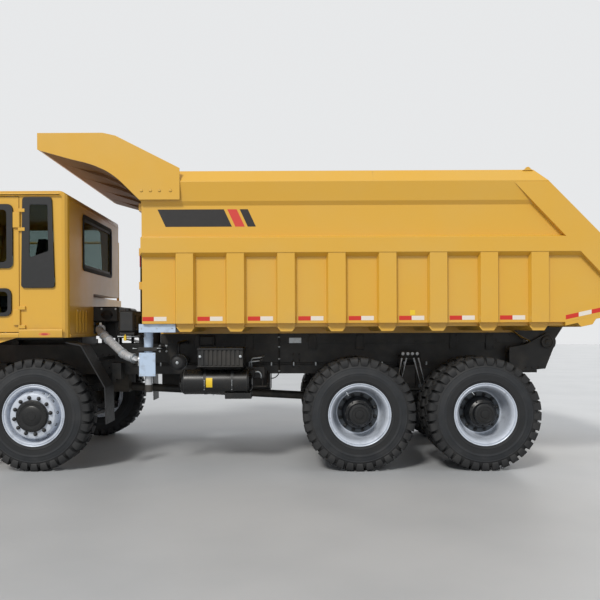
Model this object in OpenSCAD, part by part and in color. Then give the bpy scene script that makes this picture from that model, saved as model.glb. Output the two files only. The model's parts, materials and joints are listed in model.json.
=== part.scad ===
// Mining dump truck, millimetres. X runs to the tail, Y to the right-hand side, Z up.
// The origin is on the ground below the middle of the whole machine.

/* [Overall] */
// Length from the bumper's face to the tail's tip
overall_l = 9005; // [8805:5:9205]
// Front axle behind the bumper's face
front_overhang = 1600; // [1550:10:1700]
// Front axle to the middle axle
wheelbase = 3840; // [3780:10:3940]
// Middle axle to the rear axle
bogie_l = 1470; // [1430:10:1520]

/* [Wheels] */
// Diameter over the tyre's lugs
tyre_d = 1330; // [1290:10:1370]
// Width of one tyre
tyre_w = 375; // [350:5:390]
// Diameter of the rim's outer edge
rim_d = 740; // [720:5:760]
// Lugs round one tyre
lug_count = 33; // [24:1:36]
// Depth of the grooves between the lugs
lug_depth = 24; // [15:1:35]
// Truck's centre line to the outer face of a front tyre
front_face_y = 1560; // [1540:5:1580]
// Truck's centre line to the outer face of an outer rear tyre
rear_face_y = 1640; // [1620:5:1660]
// Gap between the two tyres of a twin wheel
twin_gap = 60; // [50:5:80]

/* [Steering] */
// Truck's centre line to a kingpin
kingpin_y = 1140; // [1130:5:1145]
// Length of a steering arm
steer_arm_l = 260; // [240:5:290]

/* [Frame] */
// Top of the frame rails
rail_top_z = 1480; // [1460:5:1500]
// Height of a frame rail
rail_h = 400; // [340:10:420]
// Truck's centre line to the outer face of a rail
rail_y = 480; // [460:5:490]
// Top of the bearers that the dump body lies on
bearer_top_z = 1615; // [1600:5:1625]
// Width of a rail's flanges
rail_flange = 100; // [80:5:120]
// Thickness of the rail's plate
rail_t = 18; // [12:1:24]

/* [Dump body] */
// Front axle to the front wall of the dump body
body_start = 1300; // [1280:5:1340]
// Height of the body sides' top edge
body_top_z = 3530; // [3430:10:3600]
// Centre line to the outer face of the body sides
body_side_y = 1690; // [1680:5:1720]
// Centre line to the inner face of the body sides
load_side_y = 1560; // [1530:5:1570]
// Upper face of the load floor
floor_z = 1740; // [1720:5:1760]
// Thickness of the load floor with its frame of sheet
floor_t = 40; // [20:5:50]
// Height of the tail's tip
tail_tip_z = 1985; // [1940:5:2030]
// Slope of the tail's edge
tail_rake = 45.6; // [43:0.1:48]
// Slope at which the floor rises to the tail
tail_rise = 12; // [10:0.5:14]
// Width of the proud band along the tail's edge
tail_band = 295; // [240:5:330]
// Ribs on each body side
rib_count = 8; // [6:1:8]
// Pitch of the ribs
rib_pitch = 590; // [560:5:595]
// Width of one rib
rib_w = 200; // [160:5:230]
// Thickness of the front wall
front_wall_t = 60; // [40:5:80]

/* [Canopy] */
// Top of the canopy
canopy_top_z = 3955; // [3900:5:4000]
// How far the canopy reaches ahead of the front wall
canopy_reach = 1188; // [1120:4:1220]
// Half the width over the canopy's side boards
canopy_y = 1700; // [1700:5:1730]
// Thickness of the canopy's sheet
canopy_t = 40; // [20:5:50]

/* [Cab] */
// Cab's left face to the truck's centre line
cab_left_y = 1600; // [1580:5:1610]
// Centre line to the cab's right face
cab_right_y = 790; // [760:5:800]
// Width of the low footwell beside the engine
footwell_w = 1030; // [1000:5:1050]
// Cab's front ahead of the front axle
cab_front = 1450; // [1430:5:1470]
// Cab's rear wall behind the front axle
cab_rear = 425; // [405:5:435]
// Underside of the cab's sill
sill_z = 1583; // [1570:1:1600]
// Floor of the raised part over the engine
tunnel_z = 2150; // [2120:5:2180]
// Top of the roof
roof_z = 3304; // [3250:2:3340]
// Thickness of the cab's walls
cab_wall = 45; // [35:1:55]
// Door's rear edge ahead of the front axle
door_rear = 137; // [130:1:150]
// Length of the door
door_l = 1150; // [1120:5:1160]
// Gap round the door
door_gap = 8; // [6:1:12]

/* [Hoist] */
// Hoist's foot behind the front axle
hoist_back = 1060; // [1040:5:1070]
// Height of the pin at the hoist's foot
hoist_foot_z = 1150; // [1140:5:1170]
// Height of the pin at the hoist's head
hoist_head_z = 2880; // [2870:5:2900]
// Radius of the hoist's barrel
barrel_r = 140; // [130:1:145]

/* [Tipping hinge] */
// Hinge pin behind the rear axle
hinge_back = 1075; // [1060:5:1090]
// Height of the hinge pin
hinge_z = 1489; // [1480:1:1500]
// Radius of the hinge pin
hinge_pin_r = 55; // [45:1:60]

/* [Hidden] */

// Colours
ochre = [0.83, 0.65, 0.24];
black = [0.10, 0.11, 0.11];
silver = [0.76, 0.80, 0.84];
rubber = [0.20, 0.20, 0.22];
pale_blue = [0.75, 0.80, 0.88];
glassy = [0.45, 0.55, 0.6, 0.4];

// Clearances
run_gap = 0.05;
seat_gap = 0.3;
safe_gap = 6;

// Places along the truck
nose_x = -overall_l / 2;
tail_x = overall_l / 2;
front_x = nose_x + front_overhang;
mid_x = front_x + wheelbase;
rear_x = mid_x + bogie_l;
bogie_x = (mid_x + rear_x) / 2;
body_x = front_x + body_start;
hinge_x = rear_x + hinge_back;
cab_x0 = front_x - cab_front;
cab_x1 = front_x + cab_rear;

// Wheel sizes that follow
axle_z = tyre_d / 2;
rim_r = rim_d / 2;
well_r = rim_r - 65;
twin_inner_y = rear_face_y - 2 * tyre_w - twin_gap;
rail_bottom_z = rail_top_z - rail_h;

$fn = 48;

// Extrudes a profile drawn in X and Z from one Y to another
module across(y0, y1) {
    translate([0, y1, 0]) rotate([90, 0, 0]) linear_extrude(y1 - y0) children();
}

// Extrudes a section drawn in Y and Z from one X to another
module along(x0, x1) {
    translate([x0, 0, 0]) rotate([90, 0, 90]) linear_extrude(x1 - x0) children();
}

module both_sides() {
    children();
    mirror([0, 1, 0]) children();
}

module box(low, high) {
    translate(low) cube(high - low);
}

// Round bar along Y
module bar_y(x, z, r, y0, y1) {
    translate([x, y0, z]) rotate([-90, 0, 0]) cylinder(r = r, h = y1 - y0);
}

// Round bar along X
module bar_x(y, z, r, x0, x1) {
    translate([x0, y, z]) rotate([0, 90, 0]) cylinder(r = r, h = x1 - x0);
}

// Round bar along Z
module bar_z(x, y, r, z0, z1) {
    translate([x, y, z0]) cylinder(r = r, h = z1 - z0);
}

// Round bar between two points
module bar(a, b, r) {
    d = b - a;
    l = norm(d);
    translate(a) rotate([0, acos(d[2] / l), atan2(d[1], d[0])]) cylinder(r = r, h = l);
}

// Turns a profile of [radius, y] points about a wheel's axis
module spun(x, z) {
    translate([x, 0, z]) rotate([-90, 0, 0]) rotate_extrude() children();
}

// Points of an arc
function arc(c, r, a0, a1, n = 6) =
    [for (i = [0:n]) c + r * [cos(a0 + (a1 - a0) * i / n), sin(a0 + (a1 - a0) * i / n)]];

// Outline of a four-sided window with rounded corners. Corners run anticlockwise from low left
function rounded(corners, r) = concat(
    arc(corners[0] + [r, r], r, 180, 270, 3), arc(corners[1] + [-r, r], r, 270, 360, 3),
    arc(corners[2] + [-r, -r], r, 0, 90, 3), arc(corners[3] + [r, -r], r, 90, 180, 3));

// Frame

module rail_section() {
    difference() {
        translate([rail_y - rail_flange, rail_bottom_z]) square([rail_flange, rail_h]);
        translate([rail_y - rail_flange - 1, rail_bottom_z + rail_t])
            square([rail_flange - rail_t + 1, rail_h - 2 * rail_t]);
    }
}

rail_x0 = nose_x + 260;
rail_x1 = hinge_x - 70;
// Middle of each cross member behind the front axle
cross_backs = [-1220, 560, 2100, wheelbase - 740, wheelbase + bogie_l / 2, wheelbase + bogie_l + 640];
cross_h = 220;
ear_t = 40;
eye_w = 110;
hinge_y = 560;
// Bearers of the dump body, and the runners that lie on them
runner_y = 430;
runner_w = 130;
bearer_x1 = hinge_x - 260;

module frame() {
    color(black) {
        both_sides() along(rail_x0, rail_x1) rail_section();
        // Bearers on the rails for the dump body
        both_sides() box([body_x, runner_y - runner_w / 2, rail_top_z - 1],
            [bearer_x1, runner_y + runner_w / 2, bearer_top_z]);
        for (d = cross_backs)
            box([front_x + d - 60, -rail_y + rail_t, rail_bottom_z + 60],
                [front_x + d + 60, rail_y - rail_t, rail_bottom_z + 60 + cross_h]);
        both_sides() hinge_ears();
        both_sides() bar_y(hinge_x, hinge_z, hinge_pin_r, hinge_y - eye_w / 2 - ear_t - 1,
            hinge_y + eye_w / 2 + ear_t + 12);
        hoist_foot_ears();
        both_sides() spring_hangers();
        trunnion();
    }
}

// Two ears on each side that hold the tipping hinge's pin
module hinge_ears() {
    ear_r = 120;
    for (y = [hinge_y - eye_w / 2 - ear_t, hinge_y + eye_w / 2 + safe_gap])
        across(y, y + ear_t - safe_gap) polygon(concat(
            [[rail_x1 - 420, rail_bottom_z + 20], [hinge_x - 20, rail_bottom_z + 60]],
            arc([hinge_x, hinge_z], ear_r, -45, 90, 8),
            [[rail_x1 - 200, rail_top_z - 20], [rail_x1 - 420, rail_top_z - 60]]));
    box([rail_x1 - 420, rail_y - 1, rail_bottom_z + 20],
        [rail_x1 - 260, hinge_y + eye_w / 2 + ear_t, rail_bottom_z + 280]);
}

hoist_eye_w = 120;
hoist_pin_r = 45;

// Two ears on a cross beam that carry the hoist's foot
module hoist_foot_ears() {
    x = front_x + hoist_back;
    for (s = [-1, 1])
        across(s * (hoist_eye_w / 2 + safe_gap + 20) - 20, s * (hoist_eye_w / 2 + safe_gap + 20) + 20)
            polygon(concat([[x - 160, rail_bottom_z], [x + 160, rail_bottom_z]],
                arc([x, hoist_foot_z], 90, 0, 180, 8)));
    difference() {
        box([x - 160, -rail_y + rail_t, rail_bottom_z], [x + 160, rail_y - rail_t, rail_bottom_z + 30]);
        box([x - 110, -hoist_eye_w / 2 - safe_gap, rail_bottom_z - 1],
            [x + 110, hoist_eye_w / 2 + safe_gap, rail_bottom_z + 31]);
    }
    bar_y(x, hoist_foot_z, hoist_pin_r, -hoist_eye_w / 2 - 40, hoist_eye_w / 2 + 40);
}

// Front springs lie outside the rails
spring_y = 610;
spring_w = 100;
leaf_t = 22;
front_spring_l = 1500;

front_leaves = 7;
bogie_leaves = 10;
front_spring_r = 2600;
bogie_spring_r = 2200;
front_seat_z = axle_z + 100;
front_spring_z = front_seat_z + front_leaves * leaf_t + seat_gap;
// Rise of an arc's ends against its middle
function arc_rise(r, l) = r * (1 - cos(l / r * 90 / PI));
bogie_pad_z = axle_z + 155;
bogie_spring_z = bogie_pad_z + seat_gap + arc_rise(bogie_spring_r, bogie_l + 60);
trunnion_z = axle_z + 165;
saddle_half = 130;

module spring_hangers() {
    end_z = front_spring_z + arc_rise(front_spring_r, front_spring_l);
    for (s = [-1, 1])
        box([front_x + s * front_spring_l / 2 - 60, rail_y - 1, end_z + seat_gap],
            [front_x + s * front_spring_l / 2 + 60, spring_y + spring_w / 2, rail_bottom_z + 160]);
}

// Casting below the rails that carries the bogie's springs and torque rods
module trunnion() {
    both_sides() {
        box([bogie_x - 130, rail_y - 60, trunnion_z - 60], [bogie_x + 130, rail_y, rail_bottom_z + 1]);
        bar_y(bogie_x, trunnion_z, 50, rail_y - 1, spring_y + 70);
        box([bogie_x - saddle_half, spring_y - 50, trunnion_z - 20],
            [bogie_x + saddle_half, spring_y + 50,
                bogie_spring_z - seat_gap - arc_rise(bogie_spring_r, 2 * saddle_half)]);
        box([bogie_x - 60, 300, axle_z - 10], [bogie_x + 60, 360, trunnion_z - 30]);
    }
    box([bogie_x - 80, -rail_y + 1, trunnion_z - 40], [bogie_x + 80, rail_y - 1, trunnion_z + 50]);
}

// Bumper with its tow lugs

bumper_z0 = 720;
bumper_z1 = 1340;
tow_y = 380;
tow_z = 630;
tow_r = 32;
tow_lug_t = 50;
lamp_ys = [1120, 1330];
lamp_z = 1140;
lamp_r = 85;

module bumper() {
    color(ochre) {
        difference() {
            across(-1640, 1640) polygon([
                [nose_x, bumper_z0 + 60], [nose_x + 60, bumper_z0], [nose_x + 259.7, bumper_z0],
                [nose_x + 259.7, bumper_z1], [nose_x + 60, bumper_z1], [nose_x, bumper_z1 - 60]]);
            // Hollow behind the face plate
            box([nose_x + 30, -1610, bumper_z0 - 1], [nose_x + 229, 1610, bumper_z1 - 30]);
            both_sides() for (y = lamp_ys) bar_x(y, lamp_z, lamp_r + seat_gap, nose_x - 1, nose_x + 31);
        }
    }
    color(black) both_sides() difference() {
        across(tow_y - tow_lug_t / 2, tow_y + tow_lug_t / 2) polygon(concat(
            arc([nose_x + 130, tow_z], 75, 100, 280, 8),
            [[nose_x + 259.7, tow_z - 40], [nose_x + 259.7, bumper_z0 + 60],
                [nose_x + 200, bumper_z0 + 60]]));
        bar_y(nose_x + 130, tow_z, tow_r, tow_y - 30, tow_y + 30);
    }
}

// Engine, radiator and hood

engine_y = 330;

engine_front = 1100;
engine_back = 200;

module engine() {
    color(black) box([front_x - engine_front, -engine_y, 900], [front_x + engine_back, engine_y, 2050]);
    // Feet on the rails
    color(black) both_sides() for (x = [-700, 100])
        box([front_x + x, engine_y - 1, rail_top_z + seat_gap],
            [front_x + x + 90, rail_y - 20, rail_top_z + 60]);
}

radiator_y0 = -520;
radiator_y1 = 740;

module radiator() {
    color(black) box([front_x - 1400, radiator_y0, rail_top_z + seat_gap],
        [front_x - 1280, radiator_y1, tunnel_z - 60]);
}

hood_y0 = footwell_w - cab_left_y + seat_gap;
hood_y1 = 1600;
hood_top = tunnel_z - 8;
hood_t = 30;

module hood() {
    x0 = cab_x0;
    x1 = front_x + 240;
    color(ochre) arch_panel();
    color(ochre) difference() {
        box([x0, hood_y0, sill_z], [x1, hood_y1, hood_top]);
        box([x0 + hood_t, hood_y0 + hood_t, sill_z - 1], [x1 - hood_t, hood_y1 - hood_t, hood_top - hood_t]);
        // Rear opening, for the exhaust pipe and the shafts behind the engine
        box([x1 - hood_t - 1, -engine_y - 20, sill_z - 1], [x1 + 1, engine_y + 20, pipe_z + 110]);
        // Opening for the radiator's air
        box([x0 - 1, hood_y0 + 80, sill_z + 60], [x0 + hood_t + 1, cab_right_y - 40, hood_top - 70]);
    }
    // Bars of the grille
    color(black) for (i = [0:5])
        box([x0 + 4, hood_y0 + 79, sill_z + 90 + i * 68], [x0 + 24, cab_right_y - 39, sill_z + 118 + i * 68]);
}

// Handrail round the right-hand deck, and the ladder below the door

rail_tube_r = 20;
deck_rail_h = 950;

module deck_rails() {
    x0 = cab_x0 + 40;
    x1 = front_x + 200;
    y0 = cab_right_y + 110;
    y1 = hood_y1 - 40;
    color(ochre) {
        for (z = [hood_top + deck_rail_h / 2, hood_top + deck_rail_h]) {
            bar_y(x0, z, rail_tube_r, y0, y1);
            bar_x(y1, z, rail_tube_r, x0, x1);
        }
        for (p = [[x0, y0], [x0, y1], [(x0 + x1) / 2, y1], [x1, y1]])
            bar_z(p[0], p[1], rail_tube_r, hood_top, hood_top + deck_rail_h);
    }
    color(black) ladder();
}

// Ladder ahead of the left front wheel
ladder_x = front_x - 1230;
ladder_w = 380;
ladder_y = 1500;

module ladder() {
    for (x = [ladder_x, ladder_x + ladder_w])
        box([x, -ladder_y - 60, 420], [x + 14, -ladder_y + 60, sill_z - seat_gap]);
    for (z = [450, 750, 1050, 1350])
        box([ladder_x + 10, -ladder_y - 60, z], [ladder_x + ladder_w + 4, -ladder_y + 100, z + 25]);
    box([ladder_x, -ladder_y + 60, 1180], [ladder_x + ladder_w + 14, -rail_y - seat_gap, 1240]);
}

// Cab

roof_r = 90;

function cab_outline(inset) = concat(
    [[cab_x0 + inset, sill_z + inset], [cab_x1 - inset, sill_z + inset]],
    arc([cab_x1 - roof_r, roof_z - roof_r], roof_r - inset, 0, 90, 6),
    arc([cab_x0 + 190, roof_z - roof_r], roof_r - inset, 90, 172, 6),
    [[cab_x0 + inset, tunnel_z + 120]]);

door_x1 = front_x - door_rear;
door_x0 = door_x1 - door_l;
door_z0 = sill_z + 60;
door_z1 = roof_z - 60;
hinge_zs = [door_z0 + 90, door_z1 - 370];
hinge_h = 180;
hinge_line_y = cab_left_y + 14;
door_pin_r = 7;
corner_r = 35;
// The quarter window widens towards its foot
quarter = rounded([[front_x - 112, 2168], [front_x + 279, 2168],
    [front_x + 249, roof_z - 74], [front_x - 96, roof_z - 74]], corner_r);
rear_window_y0 = -1000;
rear_window_y1 = 300;
rear_window_z0 = 2450;
rear_window_z1 = 3100;
side_window = rounded([[door_x0, tunnel_z + 250], [cab_x1 - 250, tunnel_z + 250],
    [cab_x1 - 280, roof_z - 120], [door_x0 + 40, roof_z - 120]], 2 * corner_r);
// Door's window and the low pane below it
door_frame = 66;
door_window = rounded([[door_x0 + 98, 2400], [door_x1 - door_gap - door_frame, 2400],
    [door_x1 - door_gap - door_frame, door_z1 - 94], [door_x0 + 98, door_z1 - 94]], 2 * corner_r - 10);
low_pane = rounded([[door_x0 + 138, door_z0 + 194], [door_x1 - 92, door_z0 + 194],
    [door_x1 - 92, 2165], [door_x0 + 98, 2165]], 2 * corner_r);
rear_corner_r = 70;
glass_t = 8;

arch_t = 12;

// Panel that hangs from the sill ahead of the front wheel, cut along the wheel's arch
module arch_panel() {
    across(cab_left_y - arch_t, cab_left_y) polygon([
        [front_x - 840, 1090], [front_x - 800, 1090], [front_x - 700, 1290], [front_x - 560, 1430],
        [front_x - 369, 1526], [front_x - 178, sill_z + 1], [front_x - 840, sill_z + 1]]);
}

module cab_shell() {
    y0 = -cab_left_y;
    y1 = cab_right_y;
    yf = footwell_w - cab_left_y;
    color(ochre) difference() {
        intersection() {
            across(y0, y1) polygon(cab_outline(0));
            // Rounded upright corners
            translate([0, 0, sill_z - 1]) linear_extrude(roof_z - sill_z + 2)
                polygon(rounded([[cab_x0, y0], [cab_x1, y0], [cab_x1, y1], [cab_x0, y1]], rear_corner_r));
        }
        across(y0 + cab_wall, y1 - cab_wall) polygon(cab_outline(cab_wall));
        // Space over the engine, below the raised floor
        box([cab_x0 - 1, yf, sill_z - 1], [cab_x1 + 1, y1 + 1, tunnel_z]);
        // Door
        box([door_x0, y0 - 1, door_z0], [door_x1, y0 + cab_wall + 1, door_z1]);
        // Quarter window
        across(y0 - 1, y0 + cab_wall + 1) polygon(quarter);
        // Rear window
        box([cab_x1 - cab_wall - 1, rear_window_y0, rear_window_z0],
            [cab_x1 + 1, rear_window_y1, rear_window_z1]);
        // Windscreen
        box([cab_x0 - 1, y0 + 90, tunnel_z + 200], [cab_x0 + 300, y1 - 90, roof_z - 200]);
        // Right-hand window
        across(y1 - cab_wall - 1, y1 + 1) polygon(side_window);
    }
    color(ochre) mirror([0, 1, 0]) arch_panel();
    color(ochre) {
        // Hinge lugs on the pillar, above and below each of the door's leaves, and the pins
        for (z = hinge_zs) {
            for (zl = [z - 40, z + hinge_h + 1]) {
                box([door_x1, y0 - 26, zl], [door_x1 + 70, y0 + 1, zl + 39]);
                bar_z(door_x1, -hinge_line_y, 12, zl, zl + 39);
            }
            bar_z(door_x1, -hinge_line_y, door_pin_r, z - 20, z + hinge_h + 20);
        }
        // Raised floor and the footwell's inner wall
        box([cab_x0 + cab_wall - 1, yf, tunnel_z], [cab_x1 - cab_wall + 1, y1 - cab_wall + 1, tunnel_z + 30]);
        box([cab_x0 + cab_wall - 1, yf - 30, sill_z + cab_wall - 1],
            [cab_x1 - cab_wall + 1, yf, tunnel_z + 30]);
        box([cab_x0 + 1, yf - 30, sill_z + 1], [cab_x0 + cab_wall, yf, tunnel_z]);
        box([cab_x1 - cab_wall, yf - 30, sill_z + 1], [cab_x1 - 1, yf, tunnel_z]);
    }
}

// Windscreen's lean, from the cab's outline
screen_low = [cab_x0, tunnel_z + 120];
screen_high = [cab_x0 + 190 - roof_r * cos(8), roof_z - roof_r + roof_r * sin(8)];

// X of the windscreen's outer face at a height
function screen_x(z) = screen_low[0] + (z - screen_low[1]) * (screen_high[0] - screen_low[0])
    / (screen_high[1] - screen_low[1]);

module cab_glass() {
    y0 = -cab_left_y;
    y1 = cab_right_y;
    za = tunnel_z + 200;
    zb = roof_z - 200;
    xa = screen_x(za) + 12;
    xb = screen_x(zb) + 12;
    color(glassy) {
        across(y0 + 90, y1 - 90) polygon([[xa, za], [xa + glass_t, za], [xb + glass_t, zb], [xb, zb]]);
        across(y0 + 12, y0 + 12 + glass_t) polygon(quarter);
        box([cab_x1 - 20, rear_window_y0, rear_window_z0],
            [cab_x1 - 20 + glass_t, rear_window_y1, rear_window_z1]);
        across(y1 - 24, y1 - 24 + glass_t) polygon(side_window);
    }
}

module cab_interior() {
    floor = sill_z + cab_wall;
    seat_x = front_x - 350;
    seat_y = -1080;
    color(black) {
        // Driver's seat on its pedestal
        box([seat_x - 160, seat_y - 150, floor + seat_gap], [seat_x + 160, seat_y + 150, floor + 330]);
        box([seat_x - 270, seat_y - 250, floor + 330], [seat_x + 250, seat_y + 250, floor + 460]);
        across(seat_y - 240, seat_y + 240) polygon([
            [seat_x + 200, floor + 460], [seat_x + 320, floor + 460],
            [seat_x + 420, floor + 1150], [seat_x + 330, floor + 1150]]);
        // Dashboard
        across(-cab_left_y + cab_wall + seat_gap, footwell_w - cab_left_y - 30 - seat_gap) polygon([
            [cab_x0 + cab_wall + seat_gap, floor + 320], [cab_x0 + 300, floor + 440],
            [cab_x0 + 330, floor + 590], [cab_x0 + cab_wall + seat_gap, floor + 635]]);
        // Steering column and wheel
        bar([cab_x0 + 280, seat_y, floor + 560], [cab_x0 + 480, seat_y, floor + 800], 30);
        translate([cab_x0 + 480, seat_y, floor + 800]) rotate([0, 39.8, 0]) {
            cylinder(r = 60, h = 30);
            difference() {
                cylinder(r = 230, h = 30);
                translate([0, 0, -1]) cylinder(r = 200, h = 32);
            }
            for (a = [90, 210, 330]) rotate(a) translate([50, -15, 5]) cube([155, 30, 20]);
        }
    }
}

// Mirrors on arms from the cab's front corners

module mirrors() {
    color(black) {
        box([cab_x0 - 110, -1680, 2450], [cab_x0 - 50, -1500, 2950]);
        bar_x(-1560, 2750, 14, cab_x0 - 60, screen_x(2736) - seat_gap);
        box([cab_x0 - 110, 1500, 2900], [cab_x0 - 50, 1680, 3400]);
        bar_z(cab_x0 - 30, 1560, 14, hood_top - 20, 3300);
        box([cab_x0 - 52, 1546, 3000], [cab_x0 - 30, 1574, 3028]);
        box([cab_x0 - 44, 1546, hood_top - 40], [cab_x0 - seat_gap, 1574, hood_top - 12]);
    }
}

module lamps() {
    color([0.9, 0.9, 0.85]) {
        // Headlamps in the bumper's face
        both_sides() for (y = lamp_ys) bar_x(y, lamp_z, lamp_r, nose_x + 6, nose_x + 40);
        // Tail lamps on the ends of the rails
        both_sides() box([rail_x1 + seat_gap, rail_y - rail_flange + 5, 1130],
            [rail_x1 + 55, hinge_y - eye_w / 2 - ear_t - seat_gap, 1240]);
        // Side marker on the sill
        box([front_x + 90, -cab_left_y - 22, sill_z + 20],
            [front_x + 245, -cab_left_y - seat_gap, sill_z + 65]);
    }
}

// Mudguards over and behind the front wheels

guard_t = 12;

module mudguards() {
    w0 = front_face_y - tyre_w;
    color(black) both_sides() across(w0, front_face_y) polygon([
        [front_x + 380, 1520], [front_x + 560, 1480], [front_x + 838, 990], [front_x + 850, 560],
        [front_x + 850 + guard_t, 560], [front_x + 838 + guard_t, 994],
        [front_x + 566, 1480 + guard_t], [front_x + 380, 1520 + guard_t]]);
    color(black) both_sides()
        box([front_x + 640, rail_y + seat_gap, 1290], [front_x + 680, w0 + 40, 1330]);
}

// Middle of the kit that hangs between the front and middle wheels
kit_x = front_x + wheelbase / 2;

module fuel_tank() {
    x0 = kit_x - 840;
    x1 = kit_x + 780;
    color(black) along(x0, x1) polygon(concat(
        arc([1430, 820], 90, -90, 0, 4), arc([1430, 1350], 90, 0, 90, 4),
        arc([830, 1350], 90, 90, 180, 4), arc([830, 820], 90, 180, 270, 4)));
    color(black) for (x = [x0 + 250, x1 - 330])
        box([x, rail_y + seat_gap, 1150], [x + 80, 741, 1330]);
}

// Left-hand side: battery box and round air tank

battery_low_z = 1228;
battery_top_z = 1439;
battery_ribs = 9;

module battery_box() {
    x0 = kit_x;
    x1 = kit_x + 538;
    pitch = (x1 - x0 - 60) / battery_ribs;
    color(black) {
        box([x0, -1405, battery_low_z], [x1, -980, battery_top_z]);
        // Upright ribs pressed into its front
        for (i = [0:battery_ribs - 1])
            box([x0 + 40 + i * pitch, -1420, battery_low_z + 15],
                [x0 + 40 + (i + 0.55) * pitch, -1404, battery_top_z - 15]);
        for (x = [x0 + 60, x1 - 120])
            box([x, -1000, 1280], [x + 60, -rail_y - seat_gap, 1340]);
    }
}

tank_y = -1220;
tank_z = 1030;
tank_r = 152;

// Air tank with domed ends, the box below it and the round filter ahead of it
module side_tank() {
    x0 = kit_x - 218;
    x1 = kit_x + 618;
    color(black) {
        translate([0, tank_y, tank_z]) rotate([0, 90, 0]) rotate_extrude() polygon([
            [0, x0 - 28], [90, x0 - 20], [tank_r - 12, x0 + 10], [tank_r, x0 + 36],
            [tank_r, x1 - 36], [tank_r - 12, x1 - 10], [90, x1 + 20], [0, x1 + 28]]);
        for (x = [x0 + 90, x1 - 150])
            box([x, tank_y, 1090], [x + 60, -rail_y - seat_gap, 1160]);
        box([kit_x + 315, tank_y - 110, 830], [kit_x + 635, tank_y + 90, 900]);
    }
    color(black) {
        bar_y(kit_x - 271, 1267, 95, -1250, -950);
        box([kit_x - 301, -960, 1240], [kit_x - 241, -rail_y - seat_gap, 1295]);
    }
}

// Exhaust: from the engine's top, out behind the cab, and down to a box with a heat shield
pipe_r = 56;
pipe_z = 1690;
stack_x = body_x + 28.5;
stack_y = -1400;
pipe_route = [
    [front_x + engine_back + seat_gap, -200, pipe_z], [front_x + engine_back + 90, -200, pipe_z],
    [front_x + 500, -450, pipe_z], [front_x + 640, -750, pipe_z],
    [front_x + 905, -1000, 1370], [stack_x, stack_y, 1325]];
duct_z = floor_z - 98;
stack_top_z = duct_z - safe_gap;

module exhaust() {
    last = len(pipe_route) - 1;
    color(silver) {
        for (i = [1:last])
            bar(pipe_route[i - 1], pipe_route[i], pipe_r);
        for (i = [1:last])
            translate(pipe_route[i]) sphere(r = pipe_r + 6);
        bar_z(stack_x, stack_y, 54, 1325, stack_top_z);
        bar_z(stack_x, stack_y, 45, 920, 1325);
        // Arm to the frame's rail
        box([stack_x - 30, stack_y, 1420], [stack_x + 30, -rail_y - seat_gap, 1450]);
        box([stack_x - 30, -rail_y - 60, 1380], [stack_x + 30, -rail_y - seat_gap, 1470]);
    }
    color(pale_blue) {
        box([stack_x - 98, stack_y - 80, 1118], [stack_x + 97, stack_y - 68, 1398]);
        box([stack_x - 14, stack_y - 69, 1150], [stack_x + 14, stack_y, 1170]);
    }
}

module driveline() {
    color(black) {
        // Bell and gearbox behind the engine
        bar_x(0, 980, 150, front_x + engine_back + seat_gap, front_x + 480);
        box([front_x + 460, -200, 820], [front_x + 800, 200, 1100]);
        // Shafts to the middle axle and on to the rear one
        bar([front_x + 790, 0, 880], [mid_x - nose_l - 4, 0, nose_z], 55);
        bar_x(0, nose_z, 45, mid_x + 260 + seat_gap, rear_x - nose_l - seat_gap);
    }
}

// Front axle: a beam between the kingpins

kingpin_r = 40;
king_eye_r = 75;
king_eye_h = 170;

module front_axle() {
    color(black) {
        box([front_x - 60, -kingpin_y, axle_z - 70], [front_x + 60, kingpin_y, axle_z + 60]);
        both_sides() bar_z(front_x, kingpin_y, king_eye_r, axle_z - king_eye_h / 2, axle_z + king_eye_h / 2);
        both_sides() bar_z(front_x, kingpin_y, kingpin_r,
            axle_z - king_eye_h / 2 - 62, axle_z + king_eye_h / 2 + 62);
        both_sides() box([front_x - 90, spring_y - 90, axle_z + 59],
            [front_x + 90, spring_y + 90, front_seat_z]);
    }
}

// Knuckle, drawn for the right-hand side: fork, spindle and arm

spindle_r = 45;
ear_h = 55;
tie_pin_r = 20;
tie_z = axle_z - king_eye_h / 2 - safe_gap - ear_h;
spindle_end = front_face_y - 60;

module knuckle() {
    plate_y = kingpin_y + king_eye_r + safe_gap;
    color(black) {
        difference() {
            union() {
                for (s = [-1, 1]) {
                    z = axle_z + s * (king_eye_h / 2 + safe_gap) - (s > 0 ? 0 : ear_h);
                    bar_z(front_x, kingpin_y, 70, z, z + ear_h);
                    box([front_x - 60, kingpin_y, z], [front_x + 60, plate_y + 30, z + ear_h]);
                }
                box([front_x - 60, plate_y, axle_z - king_eye_h / 2 - safe_gap - ear_h],
                    [front_x + 60, plate_y + 30, axle_z + king_eye_h / 2 + safe_gap + ear_h]);
                // Arm that runs back to the tie rod
                box([front_x + 50, kingpin_y - 35, tie_z],
                    [front_x + steer_arm_l + 40, kingpin_y + 35, tie_z + 40]);
            }
            bar_z(front_x, kingpin_y, kingpin_r + run_gap, axle_z - 400, axle_z + 400);
        }
        bar_y(front_x, axle_z, spindle_r, plate_y + 20, spindle_end);
        bar_z(front_x + steer_arm_l, kingpin_y, tie_pin_r, tie_z - 70, tie_z + 10);
    }
}

module tie_rod() {
    x = front_x + steer_arm_l;
    z1 = tie_z - safe_gap;
    z0 = z1 - 50;
    color(black) difference() {
        union() {
            bar_y(x, (z0 + z1) / 2, 24, -kingpin_y + 20, kingpin_y - 20);
            both_sides() bar_z(x, kingpin_y, 40, z0, z1);
        }
        both_sides() bar_z(x, kingpin_y, tie_pin_r + run_gap, z0 - 1, z1 + 1);
    }
}

// Springs: leaves on one centre, each shorter than the last

// Side view of a pack: the long leaf's inner arc, then a step down at each leaf's end.
// The arc's inner face passes through [x, z]; up = 1 arches it, up = -1 sags it
function leaf_point(x, z, r0, up, r, a) = [x + r * sin(a), z + up * (r * cos(a) - r0)];

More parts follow.
